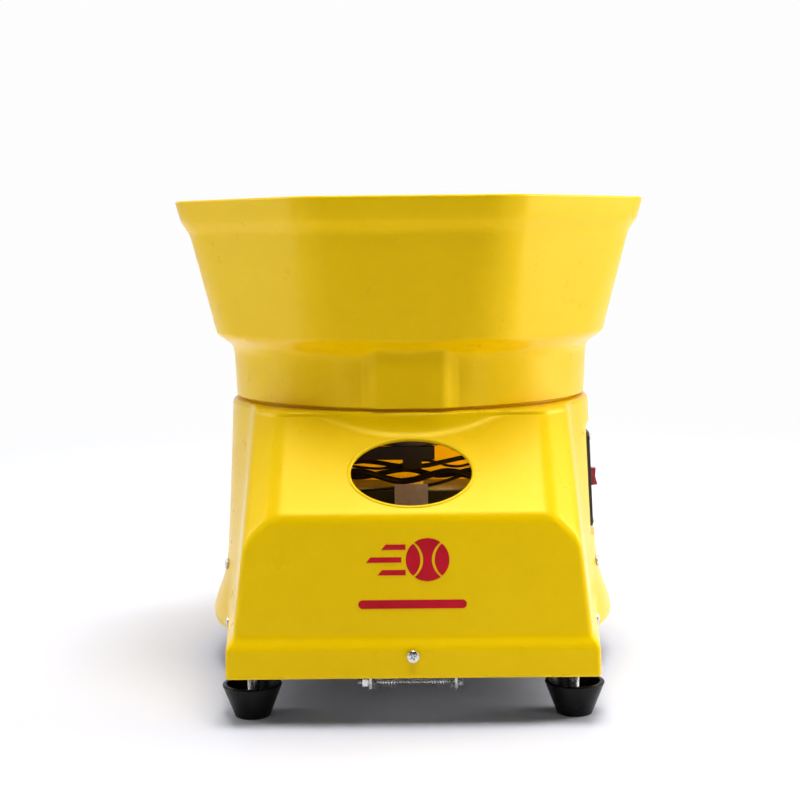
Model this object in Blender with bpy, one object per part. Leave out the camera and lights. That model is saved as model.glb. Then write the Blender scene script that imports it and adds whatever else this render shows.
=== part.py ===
"""Compact tennis ball machine: drum-shaped base with a box nose, lift-off ball hopper,
rotary ball feeder, two-wheel throwing head that oscillates, and a fold-down front stand.

Frame: +Z up, floor at Z=0, ball outlet faces -Y, control panel on the +X side. Sizes are in
mm and the meshes in metres. Everything is laid out with the hopper axis on X=Y=0; the last
step moves the whole machine along Y to centre it on the origin.
"""
import math

import bmesh
import bpy
import numpy as np
from mathutils import Matrix, Vector

MM = 0.001
SIDES = (-1, 1)                             # -X then +X, or -Y then +Y
X_AXIS = Vector((1, 0, 0))

# ---------------------------------------------------------------- driving sizes, mm
PLATE_Z, PLATE_T = 44.0, 2.5                # underside and thickness of the base plate
CLEAR = 0.3                                 # gap left between touching pieces
ON_PLATE = PLATE_Z + PLATE_T + CLEAR
UNDER_PLATE = PLATE_Z - CLEAR

CASE_BOTTOM, CASE_TOP = 40.0, 241.0         # moulded casing, bottom and top edges
CASE_WALL = 3.5
HOPPER_HOLE_R = 152.0                       # opening in the casing top
DRUM_SEG = 48
DRUM = [                                    # outside of the drum: (z, radius)
    (40, 181.6), (42, 183.3), (47, 183.5), (55, 181.6), (67, 177.2), (78, 173.3),
    (90, 170.8), (107, 169.2), (165, 165.8), (232, 162.3), (238.5, 161.2), (241, 158.8)]

NOSE_FRONT_Y, NOSE_TOP_Z = -232.0, 167.0    # top edge of the nose's front face
NOSE_BACK_Y = -62.0                         # nose and lip end here, inside the drum
NOSE_CUT = 0.4                              # top of the nose below the top of the drum
NOSE_LEAN = math.radians(50.0)              # lean of the outlet panel from the vertical
OUTLET_HALF = (50.0, 36.0)                  # outlet half-sizes across and up the panel
OUTLET_Y = -196.6                           # outlet centre
OUTLET_SEG = 40

SCREWS = {                                  # casing screws: (centre on the wall, outward)
    "front_screw": ((0, -239.9, 58), (0, -1, 0)),
    "side_screw_lower_left": ((-159.3, -100, 52), (-1, -0.089, 0.02)),
    "side_screw_lower_right": ((159.3, -100, 52), (1, -0.089, 0.02)),
    "side_screw_upper_left": ((-167.1, -35.1, 90), (-0.979, -0.206, 0.09)),
    "side_screw_upper_right": ((167.1, -35.1, 90), (0.979, -0.206, 0.09)),
    "rear_screw_left": ((-90.7, 157.1, 56), (-0.5, 0.866, 0.31)),
    "rear_screw_right": ((90.7, 157.1, 56), (0.5, 0.866, 0.31)),
}
SCREW_STANDOFF = 0.75                       # underside of the screw head off its centre

FEET = {                                    # (x, y)
    "front_left": (-130, -200), "front_right": (130, -200),
    "rear_left": (-112, 105), "rear_right": (112, 105)}

PANEL_X, PANEL_Z, PANEL_TILT = 158.8, 165.0, 2.5   # control panel seat, tilt in degrees
PANEL_BACK, PANEL_FACE = 0.3, 3.0           # panel faces, out from the seat
ON_PANEL = PANEL_FACE + CLEAR
LAMP_Y = -4.5
PANEL_SCREWS = {                            # (y, z) on the panel
    "panel_screw_1": (-37, 38), "panel_screw_2": (37, 38),
    "panel_screw_3": (37, -38), "panel_screw_4": (-37, -38)}

STAND_Y, STAND_Z = -200.0, 27.0             # stand hinge line, along X
EAR_X, ARM_X, STAND_HALF_T = 34.4, 30.8, 1.2   # bracket ears, stand arms, half thickness

HOPPER_WALL = 3.2
HOPPER_FOOT = (170.8, 56, 60)               # lower octagon: as HOPPER_BIN without z
HOPPER_COLLAR = [                           # (z, radius, blend towards the lower octagon)
    (243.5, 158, 0), (283, 160, 0), (290, 162, 0), (293.5, 166.5, 0.35), (297, 170.5, 0.8)]
HOPPER_BIN = [                              # (z, flat distance, flat half-width, corner radius)
    (303, 171.5, 56.5, 60), (386, 191, 75, 60), (390.5, 193.3, 76, 60),
    (395, 196.1, 77.5, 61), (399.5, 198.6, 79, 61), (416, 202.6, 81.5, 62)]
ARC_POINTS = 4                              # points on each octagon corner
FLAT_FRACTIONS = (1 / 3, 2 / 3)             # extra points along each flat

DECK_Z, DECK_TOP = 222, 225                 # feeder deck
POCKET_R, POCKET_PITCH_R, POCKETS = 37.5, 82.0, 5
POSTS = {                                   # deck posts: (x, y)
    "deck_post_front_left": (-131, -30), "deck_post_front_right": (131, -30),
    "deck_post_rear_left": (-96, 95), "deck_post_rear_right": (96, 95)}

LAUNCH = math.radians(35.0)                 # launch elevation
NIP = Vector((0.0, -106.5, 134.0))          # ball centre between the wheels
WHEEL_R, WHEEL_W, WHEEL_GAP = 45.0, 30.0, 54.0
WHEEL_X = WHEEL_GAP / 2 + WHEEL_R
YAW_X, YAW_Y = 0.0, -60.0                   # oscillation pivot
TURN_Z = 50                                 # mid-height of the turntable
GEAR_MODULE, SECTOR_TEETH, PINION_TEETH = 1.5, 80, 14
SECTOR_KEEP = 4                             # sector teeth each side of the middle one
GEAR_Z = 48.6                               # underside of sector and pinion
PINION_Y = YAW_Y + GEAR_MODULE * (SECTOR_TEETH + PINION_TEETH) / 2

CENTRE_SHIFT_Y = 20.325

# ---------------------------------------------------------------- directions and frames
def axes_matrix(x_dir, y_dir, z_dir):
    return Matrix((x_dir, y_dir, z_dir)).transposed().to_4x4()


OUTLET_NORMAL = Vector((0, -math.cos(NOSE_LEAN), math.sin(NOSE_LEAN)))
LAUNCH_DIR = Vector((0, -math.cos(LAUNCH), math.sin(LAUNCH)))
HEAD_UP = Vector((0, math.sin(LAUNCH), math.cos(LAUNCH)))      # square to the wheel plane
# Head frame: x across, y back along the launch line, z up out of the wheel plane
HEAD = Matrix.Translation(NIP * MM) @ axes_matrix(X_AXIS, -LAUNCH_DIR, HEAD_UP)


# ---------------------------------------------------------------- materials
def material(name, *, colour, roughness, metallic=0.0):
    mat = bpy.data.materials.get(name) or bpy.data.materials.new(name)
    mat.use_nodes = True
    shader = mat.node_tree.nodes["Principled BSDF"]
    shader.inputs["Base Color"].default_value = (*colour, 1)
    shader.inputs["Roughness"].default_value = roughness
    shader.inputs["Metallic"].default_value = metallic
    mat.diffuse_color = (*colour, 1)
    return mat


YELLOW = material("yellow_casing", colour=(0.86, 0.66, 0.01), roughness=0.42)
BLACK = material("black_plastic", colour=(0.02, 0.02, 0.022), roughness=0.45)
RUBBER = material("black_rubber", colour=(0.015, 0.015, 0.015), roughness=0.7)
STEEL = material("zinc_steel", colour=(0.62, 0.6, 0.58), roughness=0.3, metallic=1.0)
PAINTED = material("black_painted_steel", colour=(0.03, 0.03, 0.03), roughness=0.5,
                   metallic=0.3)
RED = material("red_switch", colour=(0.6, 0.02, 0.03), roughness=0.35)
TREAD = material("grey_tread", colour=(0.55, 0.52, 0.49), roughness=0.75)
ALU = material("aluminium", colour=(0.7, 0.7, 0.71), roughness=0.4, metallic=1.0)
PCB = material("circuit_board", colour=(0.02, 0.16, 0.06), roughness=0.5)
LENS = material("green_lens", colour=(0.05, 0.5, 0.12), roughness=0.2)
GREY = material("grey_plastic", colour=(0.22, 0.22, 0.23), roughness=0.5)


# ---------------------------------------------------------------- mesh helpers
def add_object(name, mesh, mat):
    obj = bpy.data.objects.new(name, mesh)
    bpy.context.scene.collection.objects.link(obj)
    if mat:
        mesh.materials.append(mat)
    return obj


def store(bm, mesh):
    """Writes bm to mesh with its faces turned outward, and frees it."""
    bmesh.ops.recalc_face_normals(bm, faces=bm.faces)
    bm.to_mesh(mesh)
    bm.free()


def mesh_object(name, verts, faces, mat=None):
    mesh = bpy.data.meshes.new(name)
    mesh.from_pydata([Vector(v) * MM for v in verts], [], faces)
    bm = bmesh.new()
    bm.from_mesh(mesh)
    bmesh.ops.remove_doubles(bm, verts=bm.verts, dist=1e-7)
    store(bm, mesh)
    return add_object(name, mesh, mat)


def transform(obj, matrix):
    obj.data.transform(matrix)
    return obj


def move(obj, x, y, z):
    return transform(obj, Matrix.Translation(Vector((x, y, z)) * MM))


def rotate(obj, degrees, axis):
    return transform(obj, Matrix.Rotation(math.radians(degrees), 4, axis))


def place(obj, location, direction):
    """Turns the piece's +Z to direction and moves it to location."""
    turn = Vector(direction).normalized().to_track_quat("Z", "Y").to_matrix().to_4x4()
    return transform(obj, Matrix.Translation(Vector(location) * MM) @ turn)


def smooth(obj, degrees=30):
    """Smooth shading, with edges above the angle kept sharp."""
    obj.data.shade_smooth()
    obj.data.set_sharp_from_angle(angle=math.radians(degrees))


def set_origin(obj, x, y, z):
    origin = Vector((x, y, z)) * MM
    obj.data.transform(Matrix.Translation(-origin))
    obj.location = origin


def lathe(name, profile, seg, mat=None):
    """Turns a closed outline of (r, z) round Z."""
    verts, rings = [], []
    for r, z in profile:
        first = len(verts)
        if r < 1e-6:
            rings.append([first])
            verts.append((0, 0, z))
            continue
        rings.append(list(range(first, first + seg)))
        for i in range(seg):
            angle = 2 * math.pi * i / seg
            verts.append((r * math.cos(angle), r * math.sin(angle), z))
    faces = []
    for a, b in zip(rings, rings[1:] + rings[:1]):
        if len(a) == 1 and len(b) == 1:
            continue
        for i in range(seg):
            j = (i + 1) % seg
            if len(a) == 1:
                faces.append((a[0], b[i], b[j]))
            elif len(b) == 1:
                faces.append((a[i], a[j], b[0]))
            else:
                faces.append((a[i], a[j], b[j], b[i]))
    return mesh_object(name, verts, faces, mat)


def cylinder(name, r, z0, z1, seg, mat=None):
    return lathe(name, [(0, z0), (r, z0), (r, z1), (0, z1)], seg, mat)


def cylinder_x(name, r, x0, x1, seg, mat=None):
    return rotate(cylinder(name, r, x0, x1, seg, mat), 90, "Y")


def prism(name, outline, z0, z1, mat=None):
    n = len(outline)
    verts = [(x, y, z) for z in (z0, z1) for x, y in outline]
    faces = [tuple(range(n))[::-1], tuple(range(n, 2 * n))]
    faces += [(i, (i + 1) % n, n + (i + 1) % n, n + i) for i in range(n)]
    return mesh_object(name, verts, faces, mat)


def prism_x(name, outline, x0, x1, mat=None):
    """Extrudes an outline of (y, z) along X."""
    return rotate(rotate(prism(name, outline, x0, x1, mat), 90, "X"), 90, "Z")


def bevel_edges(obj, width, segments, min_angle=20, clamp=False):
    """Bevels the edges sharper than min_angle degrees."""
    bm = bmesh.new()
    bm.from_mesh(obj.data)
    edges = [e for e in bm.edges
             if len(e.link_faces) == 2 and e.calc_face_angle() > math.radians(min_angle)]
    bmesh.ops.bevel(bm, geom=edges, offset=width * MM, segments=segments,
                    affect="EDGES", profile=0.5, clamp_overlap=clamp)
    store(bm, obj.data)
    return obj


def box(name, low, high, mat=None, bevel=0.0):
    (x0, y0, z0), (x1, y1, z1) = low, high
    obj = prism(name, [(x0, y0), (x1, y0), (x1, y1), (x0, y1)], z0, z1, mat)
    return bevel_edges(obj, bevel, 1) if bevel else obj


def hull(name, points):
    bm = bmesh.new()
    for point in points:
        bm.verts.new(Vector(point) * MM)
    result = bmesh.ops.convex_hull(bm, input=bm.verts)
    unused = [v for v in result["geom_unused"] if isinstance(v, bmesh.types.BMVert)]
    bmesh.ops.delete(bm, geom=unused, context="VERTS")
    bmesh.ops.dissolve_limit(bm, angle_limit=0.002, verts=bm.verts, edges=bm.edges)
    mesh = bpy.data.meshes.new(name)
    store(bm, mesh)
    return add_object(name, mesh, None)


def halfspaces(name, planes):
    """Convex solid where n.p <= d for every plane (n, d)."""
    planes = [(Vector(n).normalized(), d / Vector(n).length) for n, d in planes]
    count = len(planes)
    points = []
    for i in range(count):
        for j in range(i + 1, count):
            for k in range(j + 1, count):
                normals = Matrix((planes[i][0], planes[j][0], planes[k][0]))
                if abs(normals.determinant()) < 1e-6:
                    continue
                distances = Vector((planes[i][1], planes[j][1], planes[k][1]))
                point = normals.inverted() @ distances
                if all(n.dot(point) <= d + 1e-4 for n, d in planes):
                    points.append(point)
    return hull(name, points)


def boolean(obj, operation, others):
    """Applies each other object in turn and removes it; obj keeps its own material."""
    for other in others:
        mod = obj.modifiers.new("boolean", "BOOLEAN")
        mod.operation = operation
        mod.solver = "EXACT"
        mod.object = other
        depsgraph = bpy.context.evaluated_depsgraph_get()
        depsgraph.update()
        mesh = bpy.data.meshes.new_from_object(obj.evaluated_get(depsgraph))
        obj.modifiers.clear()
        mats = list(obj.data.materials)
        obj.data = mesh
        mesh.materials.clear()
        for mat in mats:
            mesh.materials.append(mat)
        for polygon in mesh.polygons:
            polygon.material_index = 0
        bpy.data.objects.remove(other, do_unlink=True)
    return obj


def cut(obj, *others):
    return boolean(obj, "DIFFERENCE", others)


def join(obj, *others):
    return boolean(obj, "UNION", others)


def join_boxes(obj, *corners):
    for low, high in corners:
        join(obj, box("part", low, high))


def bore(obj, r, z0, z1, x, y, seg):
    """Cuts an upright hole at (x, y)."""
    cut(obj, move(cylinder("cutter", r, z0, z1, seg), x, y, 0))


def ring_quads(spans, rings, sides):
    """Quads between successive rings of points; a span past the last ring wraps round."""
    faces = []
    for i in range(spans):
        here, there = i * sides, ((i + 1) % rings) * sides
        for j in range(sides):
            k = (j + 1) % sides
            faces.append((here + j, here + k, there + k, there + j))
    return faces


def wire(name, path, r, sides, mat):
    """Round wire along a path of points."""
    points = [Vector(p) for p in path]
    last = len(points) - 1
    verts = []
    across = X_AXIS
    for i, point in enumerate(points):
        along = (points[min(i + 1, last)] - points[max(i - 1, 0)]).normalized()
        across = (across - along * across.dot(along)).normalized()
        third = along.cross(across)
        for k in range(sides):
            angle = 2 * math.pi * k / sides
            verts.append(point + (across * math.cos(angle) + third * math.sin(angle)) * r)
    faces = ring_quads(last, last + 1, sides)
    faces += [tuple(range(sides))[::-1], tuple(range(last * sides, (last + 1) * sides))]
    return mesh_object(name, verts, faces, mat)


# ---------------------------------------------------------------- casing
def drum_solid(name, inset, z0, z1, mat=None):
    heights, radii = zip(*DRUM)

    def station(z):
        return np.interp(z, heights, radii) - inset, z

    middle = [(r - inset, z) for z, r in DRUM if z0 < z < z1]
    return lathe(name, [(0, z0), station(z0)] + middle + [station(z1), (0, z1)],
                 DRUM_SEG, mat)


def plane(normal, point, inset):
    return normal, normal.dot(Vector(point)) - inset


def end_planes(z0, z1):
    return [((0, 0, 1), z1), ((0, 0, -1), -z0), ((0, 1, 0), NOSE_BACK_Y)]


def nose_planes(inset, z0, z1):
    top_edge = (0, NOSE_FRONT_Y, NOSE_TOP_Z)
    front = Vector((0, -1, 0.028)).normalized()              # slight draft
    planes = end_planes(z0, z1)
    planes += [plane(OUTLET_NORMAL, top_edge, inset), plane(front, top_edge, inset)]
    for s in SIDES:
        side = Vector((s, -0.102, 0.118)).normalized()       # draft and flare
        planes.append(plane(side, (s * 132.5, NOSE_FRONT_Y, 146), inset))
        corner = Vector((s * 1852.2, -1665, 1984.5)).normalized()
        planes.append(plane(corner, (s * 110, NOSE_FRONT_Y, NOSE_TOP_Z), inset))
    return planes


def lip_planes(inset, z0, z1):
    """Wider skirt round the foot of the nose."""
    front = Vector((0, -1, 0.02)).normalized()
    front_slope = Vector((0, -1, 1.1)).normalized()
    planes = end_planes(z0, z1)
    planes += [plane(front, (0, -240, 40), inset), plane(front_slope, (0, -239.5, 66), inset)]
    for s in SIDES:
        side = Vector((s, -0.089, 0.02)).normalized()
        planes.append(plane(side, (s * 147, -240, 40), inset))
        slope = Vector((s, -0.089, 1.1)).normalized()
        planes.append(plane(slope, (s * 146.5, -239.5, 66), inset))
    return planes


def to_panel(obj, x=0, y=0, z=0):
    """Moves a piece by (x, y, z) in the control panel's frame: x out, y back, z up."""
    move(obj, x, y, z)
    rotate(obj, -PANEL_TILT, "Y")
    return move(obj, PANEL_X, 0, PANEL_Z)


def panel_slab(inset):
    """Block that cuts the drum down to the flat seat of the control panel."""
    return to_panel(box("cutter", (-inset, -60, -50 - inset), (40, 60, 50 + inset)))


def outlet_cutter():
    angles = [2 * math.pi * i / OUTLET_SEG for i in range(OUTLET_SEG)]
    across, up = OUTLET_HALF
    oval = prism("cutter", [(across * math.cos(a), up * math.sin(a)) for a in angles], -20, 20)
    z = NOSE_TOP_Z + (OUTLET_Y - NOSE_FRONT_Y) / math.tan(NOSE_LEAN)
    frame = axes_matrix(X_AXIS, OUTLET_NORMAL.cross(X_AXIS), OUTLET_NORMAL)
    return transform(oval, Matrix.Translation(Vector((0, OUTLET_Y, z)) * MM) @ frame)


def cut_screw_holes(obj, r, depth):
    for centre, outward in SCREWS.values():
        cut(obj, place(cylinder("cutter", r, -depth, 6, 12), centre, outward))


def build_casing():
    cover = drum_solid("base_cover", 0, CASE_BOTTOM, CASE_TOP, YELLOW)
    nose = halfspaces("nose", nose_planes(0, 52, CASE_TOP - NOSE_CUT))
    bevel_edges(nose, 6, 2, clamp=True)
    lip = halfspaces("lip", lip_planes(0, CASE_BOTTOM, 78))
    bevel_edges(lip, 5, 2, min_angle=40, clamp=True)
    cut(cover, panel_slab(0))
    join(cover, nose, lip)

    inside_top = CASE_TOP - CASE_WALL
    inside = drum_solid("inside", CASE_WALL, CASE_BOTTOM - 10, inside_top)
    nose_inside = halfspaces("nose", nose_planes(CASE_WALL, 44, inside_top - NOSE_CUT))
    lip_inside = halfspaces("lip", lip_planes(CASE_WALL, CASE_BOTTOM - 9, 74))
    cut(inside, panel_slab(CASE_WALL))
    join(inside, nose_inside, lip_inside)
    cut(cover, inside)

    top_hole = cylinder("cutter", HOPPER_HOLE_R, 230, 250, DRUM_SEG)
    cut(cover, rotate(top_hole, 180 / DRUM_SEG, "Z"))
    cut(cover, outlet_cutter())
    cut(cover, to_panel(box("cutter", (-12, -38, -34), (12, 38, 34))))
    cut_screw_holes(cover, 2.6, 14)
    smooth(cover)


# ---------------------------------------------------------------- base plate, feet, screws
PLATE_R, PLATE_ARC_STEPS = 175, 44
PLATE_FRONT = [(-142, -229), (-136, -235), (136, -235), (142, -229)]
TAB_Z = PLATE_Z + 1                         # upstands start inside the plate
TABS = [                                    # upstands: (x0, y0), (x1, y1, top z)
    ((-14, -235), (14, -233, 63)),
    ((149.6, -112), (151.6, -88, 64)), ((-151.6, -112), (-149.6, -88, 64)),
    ((155, -47), (157, -23, 98)), ((-157, -47), (-155, -23, 98)),
    ((-122.5, 4), (-120.3, 78, 155))]       # carries the circuit board


def build_base_plate():
    start = math.atan2(-85, 153)
    sweep = math.pi - 2 * start
    angles = [start + sweep * i / PLATE_ARC_STEPS for i in range(PLATE_ARC_STEPS + 1)]
    outline = [(PLATE_R * math.cos(a), PLATE_R * math.sin(a)) for a in angles] + PLATE_FRONT
    plate = prism("base_plate", outline, PLATE_Z, PLATE_Z + PLATE_T, PAINTED)
    join_boxes(plate, *(((*low, TAB_Z), high) for low, high in TABS))
    for s in SIDES:                         # rear upstands, turned to face their screws
        tab = rotate(box("part", (-12, -1, TAB_Z), (12, 1, 66)), -s * 30, "Z")
        join(plate, move(tab, s * 85.0, 147.2, 0))
    cut_screw_holes(plate, 2.4, 16)
    for x, y in FEET.values():
        bore(plate, 4.4, 30, 60, x, y, 14)
    bore(plate, 5.4, 30, 60, YAW_X, YAW_Y, 18)
    smooth(plate)


def build_feet():
    """Rubber cups on studs, each stud with a nut below and above the plate."""
    cup = [(0, 0), (14.2, 0), (15.7, 1.4), (24.4, 26.2), (23.6, 27), (21, 27), (20.2, 26.2),
           (15.5, 9), (14, 8), (0, 8)]
    stud = [(0, 8.3), (10, 8.3), (10, 11.5), (4, 11.5), (4, 37.5), (7.5, 37.5),
            (7.5, UNDER_PLATE), (4, UNDER_PLATE), (4, 46.9), (7.5, 46.9), (7.5, 52), (4, 52),
            (4, 56), (0, 56)]
    for place_name, (x, y) in FEET.items():
        smooth(move(lathe("foot_" + place_name, cup, 22, RUBBER), x, y, 0), 40)
        smooth(move(lathe("foot_stud_" + place_name, stud, 8, STEEL), x, y, 0), 25)


def pan_screw(name, head_r, head_h, shank_r, length, seg):
    """Cross-slot screw along Z, underside of the head at z=0."""
    profile = [(0, -length), (shank_r, -length), (shank_r, 0.0), (head_r, 0.0), (head_r, 0.9),
               (head_r * 0.82, head_h * 0.8), (head_r * 0.45, head_h), (0, head_h)]
    screw = lathe(name, profile, seg, STEEL)
    a = head_r * 0.55                       # half-length of the slot
    w = head_r * 0.13                       # half-width of the slot
    cross = [(-a, -w), (-w, -w), (-w, -a), (w, -a), (w, -w), (a, -w),
             (a, w), (w, w), (w, a), (-w, a), (-w, w), (-a, w)]
    slot = prism("cutter", cross, head_h - 1.5, head_h + 2)
    return cut(screw, rotate(slot, 40, "Z"))


def build_casing_screws():
    for name, (centre, outward) in SCREWS.items():
        screw = pan_screw(name, head_r=5.0, head_h=2.6, shank_r=2.0, length=13.0, seg=12)
        seat = Vector(centre) + Vector(outward).normalized() * SCREW_STANDOFF
        smooth(place(screw, seat, outward))


# ---------------------------------------------------------------- control panel, +X side
def build_panel():
    outline = []
    for y, z, start in ((36, 37, 0), (-36, 37, 90), (-36, -37, 180), (36, -37, 270)):
        for i in range(5):
            angle = math.radians(start + 22.5 * i)
            outline.append((y + 6 * math.cos(angle), z + 6 * math.sin(angle)))
    panel = prism_x("control_panel", outline, PANEL_BACK, PANEL_FACE, BLACK)
    cut(panel, box("cutter", (-5, -26.5, -10), (5, -13.5, 10)),
        box("cutter", (-5, 4, -10), (5, 32, 10)),
        move(cylinder_x("cutter", 4.2, -5, 5, 14), 0, LAMP_Y, 0))
    for y, z in PANEL_SCREWS.values():
        cut(panel, move(cylinder_x("cutter", 1.8, -5, 5, 10), 0, y, z))
    smooth(to_panel(panel))


def build_panel_screws():
    for name, (y, z) in PANEL_SCREWS.items():
        screw = pan_screw(name, head_r=2.8, head_h=1.5, shank_r=1.4, length=2.7, seg=8)
        smooth(to_panel(rotate(screw, 90, "Y"), ON_PANEL, y, z))


def build_switch():
    frame = box("switch_frame", (ON_PANEL, -28.5, -12), (ON_PANEL + 1, -11.5, 12), BLACK, 0.3)
    join_boxes(frame, ((-14, -26.2, -9.7), (4, -13.8, 9.7)))
    cut(frame, box("cutter", (-11, -24.4, -8.6), (9, -15.6, 8.6)))
    smooth(to_panel(frame))

    # Rocker with a shallow vee on the outside: (x, z)
    outline = [(-2.5, -5.5), (-2.5, 5.5), (1, 8.2), (9.4, 7.8), (8.6, 0), (10.4, -7.6),
               (1, -8.2)]
    to_panel(rotate(prism("rocker_switch", outline, 15.9, 24.1, RED), 90, "X"))


def build_power_inlet():
    """Mains inlet with three pins in a recess."""
    inlet = box("power_inlet", (ON_PANEL, 1.5, -12.5), (ON_PANEL + 1, 34.5, 12.5), BLACK, 0.3)
    join_boxes(inlet, ((-16, 4.4, -9.6), (4, 31.6, 9.6)))
    cut(inlet, box("cutter", (-12, 7, -7), (9, 29, 7)))
    for y, z in ((12, -2), (18, 2), (24, -2)):
        join_boxes(inlet, ((-12.5, y - 1, z - 2), (2, y + 1, z + 2)))
    smooth(to_panel(inlet))


def build_lamp():
    profile = [(0, -8), (3.9, -8), (3.9, 3.6), (5, 3.6), (5, 4.4), (3.6, 5.6), (0, 6.2)]
    lamp = rotate(lathe("indicator_lens", profile, 14, LENS), 90, "Y")
    smooth(to_panel(lamp, 0, LAMP_Y, 0))


# ---------------------------------------------------------------- fold-down stand
def cut_hinge_hole(obj):
    cut(obj, move(cylinder_x("cutter", 2.9, -60, 60, 14), 0, STAND_Y, STAND_Z))


def build_stand_bracket():
    bracket = box("stand_bracket", (-40, -212, 42.0), (40, -180, UNDER_PLATE), STEEL)
    ear = [(-212, 42.8), (-188, 42.8), (-193, 22.5), (-196, 20), (-204, 20), (-207, 22.5)]
    for s in SIDES:
        x = s * EAR_X
        join(bracket, prism_x("part", ear, x - STAND_HALF_T, x + STAND_HALF_T))
    cut_hinge_hole(bracket)
    smooth(bracket)


def build_stand_pivot():
    bolt = lathe("stand_pivot_bolt", [(0, -45), (2.4, -45), (2.5, -44), (2.5, 36.2),
                                      (5.2, 36.2), (5.2, 40), (0, 40)], 12, STEEL)
    smooth(move(rotate(bolt, 90, "Y"), 0, STAND_Y, STAND_Z))
    nut = lathe("stand_nut", [(3.2, -41), (5.6, -41), (5.6, -36.2), (3.2, -36.2)], 6, STEEL)
    move(rotate(nut, 90, "Y"), 0, STAND_Y, STAND_Z)


def build_stand_springs():
    coil_r, start_x, length = 4.1, 14, 12.5
    turns, turn_steps = 5.5, 8
    steps = int(turns * turn_steps)
    for s, side in zip(SIDES, ("left", "right")):
        path = []
        for i in range(steps + 1):
            angle = 2 * math.pi * i / turn_steps
            path.append((s * (start_x + length * i / steps),
                         STAND_Y + coil_r * math.cos(angle),
                         STAND_Z + coil_r * math.sin(angle)))
        smooth(wire("stand_spring_" + side, path, 0.8, 4, STEEL), 60)


def build_stand():
    """Two arms and a foot bar, folded back under the base."""
    outline = [(-206.5, 27), (-204.5, 22.2), (-200, 20.5), (-85, 20.5), (-80, 23), (-80, 31),
               (-85, 33.5), (-200, 33.5), (-204.5, 31.8)]
    stand, other_arm = (
        prism_x("front_stand", outline, s * ARM_X - STAND_HALF_T, s * ARM_X + STAND_HALF_T,
                STEEL) for s in SIDES)
    join(stand, other_arm)
    join(stand, move(cylinder_x("part", 5.0, -38, 38, 16), 0, -88, STAND_Z))
    cut_hinge_hole(stand)
    smooth(stand)
    set_origin(stand, 0, STAND_Y, STAND_Z)


# ---------------------------------------------------------------- hopper
def lerp(a, b, t):
    return a[0] * (1 - t) + b[0] * t, a[1] * (1 - t) + b[1] * t


def octagon(flat_distance, flat_half, corner_r):
    """Closed outline with flats facing +-X and +-Y, rounded corners."""
    corners = []
    for k in range(4):
        c, s = math.cos(math.radians(90 * k)), math.sin(math.radians(90 * k))
        for y in (-flat_half, flat_half):
            corners.append(Vector((flat_distance * c - y * s, flat_distance * s + y * c)))
    arcs = []
    for i, corner in enumerate(corners):
        to_last = corners[i - 1] - corner
        to_next = corners[(i + 1) % len(corners)] - corner
        dir_last, dir_next = to_last.normalized(), to_next.normalized()
        half_angle = dir_last.angle(dir_next) / 2
        setback = min(corner_r / math.tan(half_angle),
                      0.45 * min(to_last.length, to_next.length))
        r = setback * math.tan(half_angle)
        centre = corner + (dir_last + dir_next).normalized() * (r / math.sin(half_angle))
        start = corner + dir_last * setback - centre
        end = corner + dir_next * setback - centre
        angle = math.atan2(start.y, start.x)
        sweep = math.remainder(math.atan2(end.y, end.x) - angle, 2 * math.pi)
        steps = [angle + sweep * j / (ARC_POINTS - 1) for j in range(ARC_POINTS)]
        arcs.append([(centre.x + r * math.cos(a), centre.y + r * math.sin(a)) for a in steps])
    outline = []
    for arc, next_arc in zip(arcs, arcs[1:] + arcs[:1]):
        outline += arc + [lerp(arc[-1], next_arc[0], t) for t in FLAT_FRACTIONS]
    return outline


def circle_like(outline, r):
    """Circle whose points have the same bearings as the outline's."""
    angles = [math.atan2(y, x) for x, y in outline]
    return [(r * math.cos(a), r * math.sin(a)) for a in angles]


def hopper_sections(inset):
    distance, half, corner_r = HOPPER_FOOT
    foot = octagon(distance - inset, half, corner_r)
    sections = []
    for z, r, blend in HOPPER_COLLAR:
        circle = circle_like(foot, r - inset)
        sections.append((z, [lerp(a, b, blend) for a, b in zip(circle, foot)]))
    for z, distance, half, corner_r in HOPPER_BIN:
        sections.append((z, octagon(distance - inset, half, corner_r)))
    return sections


def build_hopper():
    foot = octagon(*HOPPER_FOOT)

    def circles(*stations):
        return [(z, circle_like(foot, r)) for z, r in stations]

    # Up the outside from the spigot, over the rim and down the inside
    rings = circles((229, 151.3), (243.5, 151.3)) + hopper_sections(0)
    rings += hopper_sections(HOPPER_WALL)[:0:-1]
    rings += circles((245.0, 154.0), (240.0, 148.3), (229, 148.3))
    verts = [(x, y, z) for z, outline in rings for x, y in outline]
    faces = ring_quads(len(rings), len(rings), len(foot))
    hopper = mesh_object("hopper", verts, faces, YELLOW)

    # Flat raised panel on the collar, front and back
    corners = [(35.0, 155.3, 243.5), (28.0, 160.6, 243.5), (35.0, 157.3, 283),
               (28.0, 162.4, 283), (35.0, 159.3, 289), (28.0, 163.0, 289)]
    for sy in SIDES:
        join(hopper, hull("part", [(sx * x, sy * y, z) for sx in SIDES for x, y, z in corners]))
    smooth(hopper)


# ---------------------------------------------------------------- feeder
def build_deck():
    outline = [(7.2, DECK_Z), (147, DECK_Z), (147, DECK_TOP), (7.2, DECK_TOP)]
    deck = rotate(lathe("feeder_deck", outline, 40, GREY), 2.3, "Z")
    bore(deck, 38, 215, 230, 0, -POCKET_PITCH_R, 24)
    for x, y in POSTS.values():
        bore(deck, 2.4, 215, 230, x, y, 10)
    smooth(deck)


def build_deck_posts():
    profile = [(0, ON_PLATE), (5, ON_PLATE), (5, 221.7), (2, 221.7), (2, 225.3),
               (4.2, 225.3), (3.6, 227.0), (0, 227.2)]
    for name, (x, y) in POSTS.items():
        smooth(move(lathe(name, profile, 10, ALU), x, y, 0))


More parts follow.
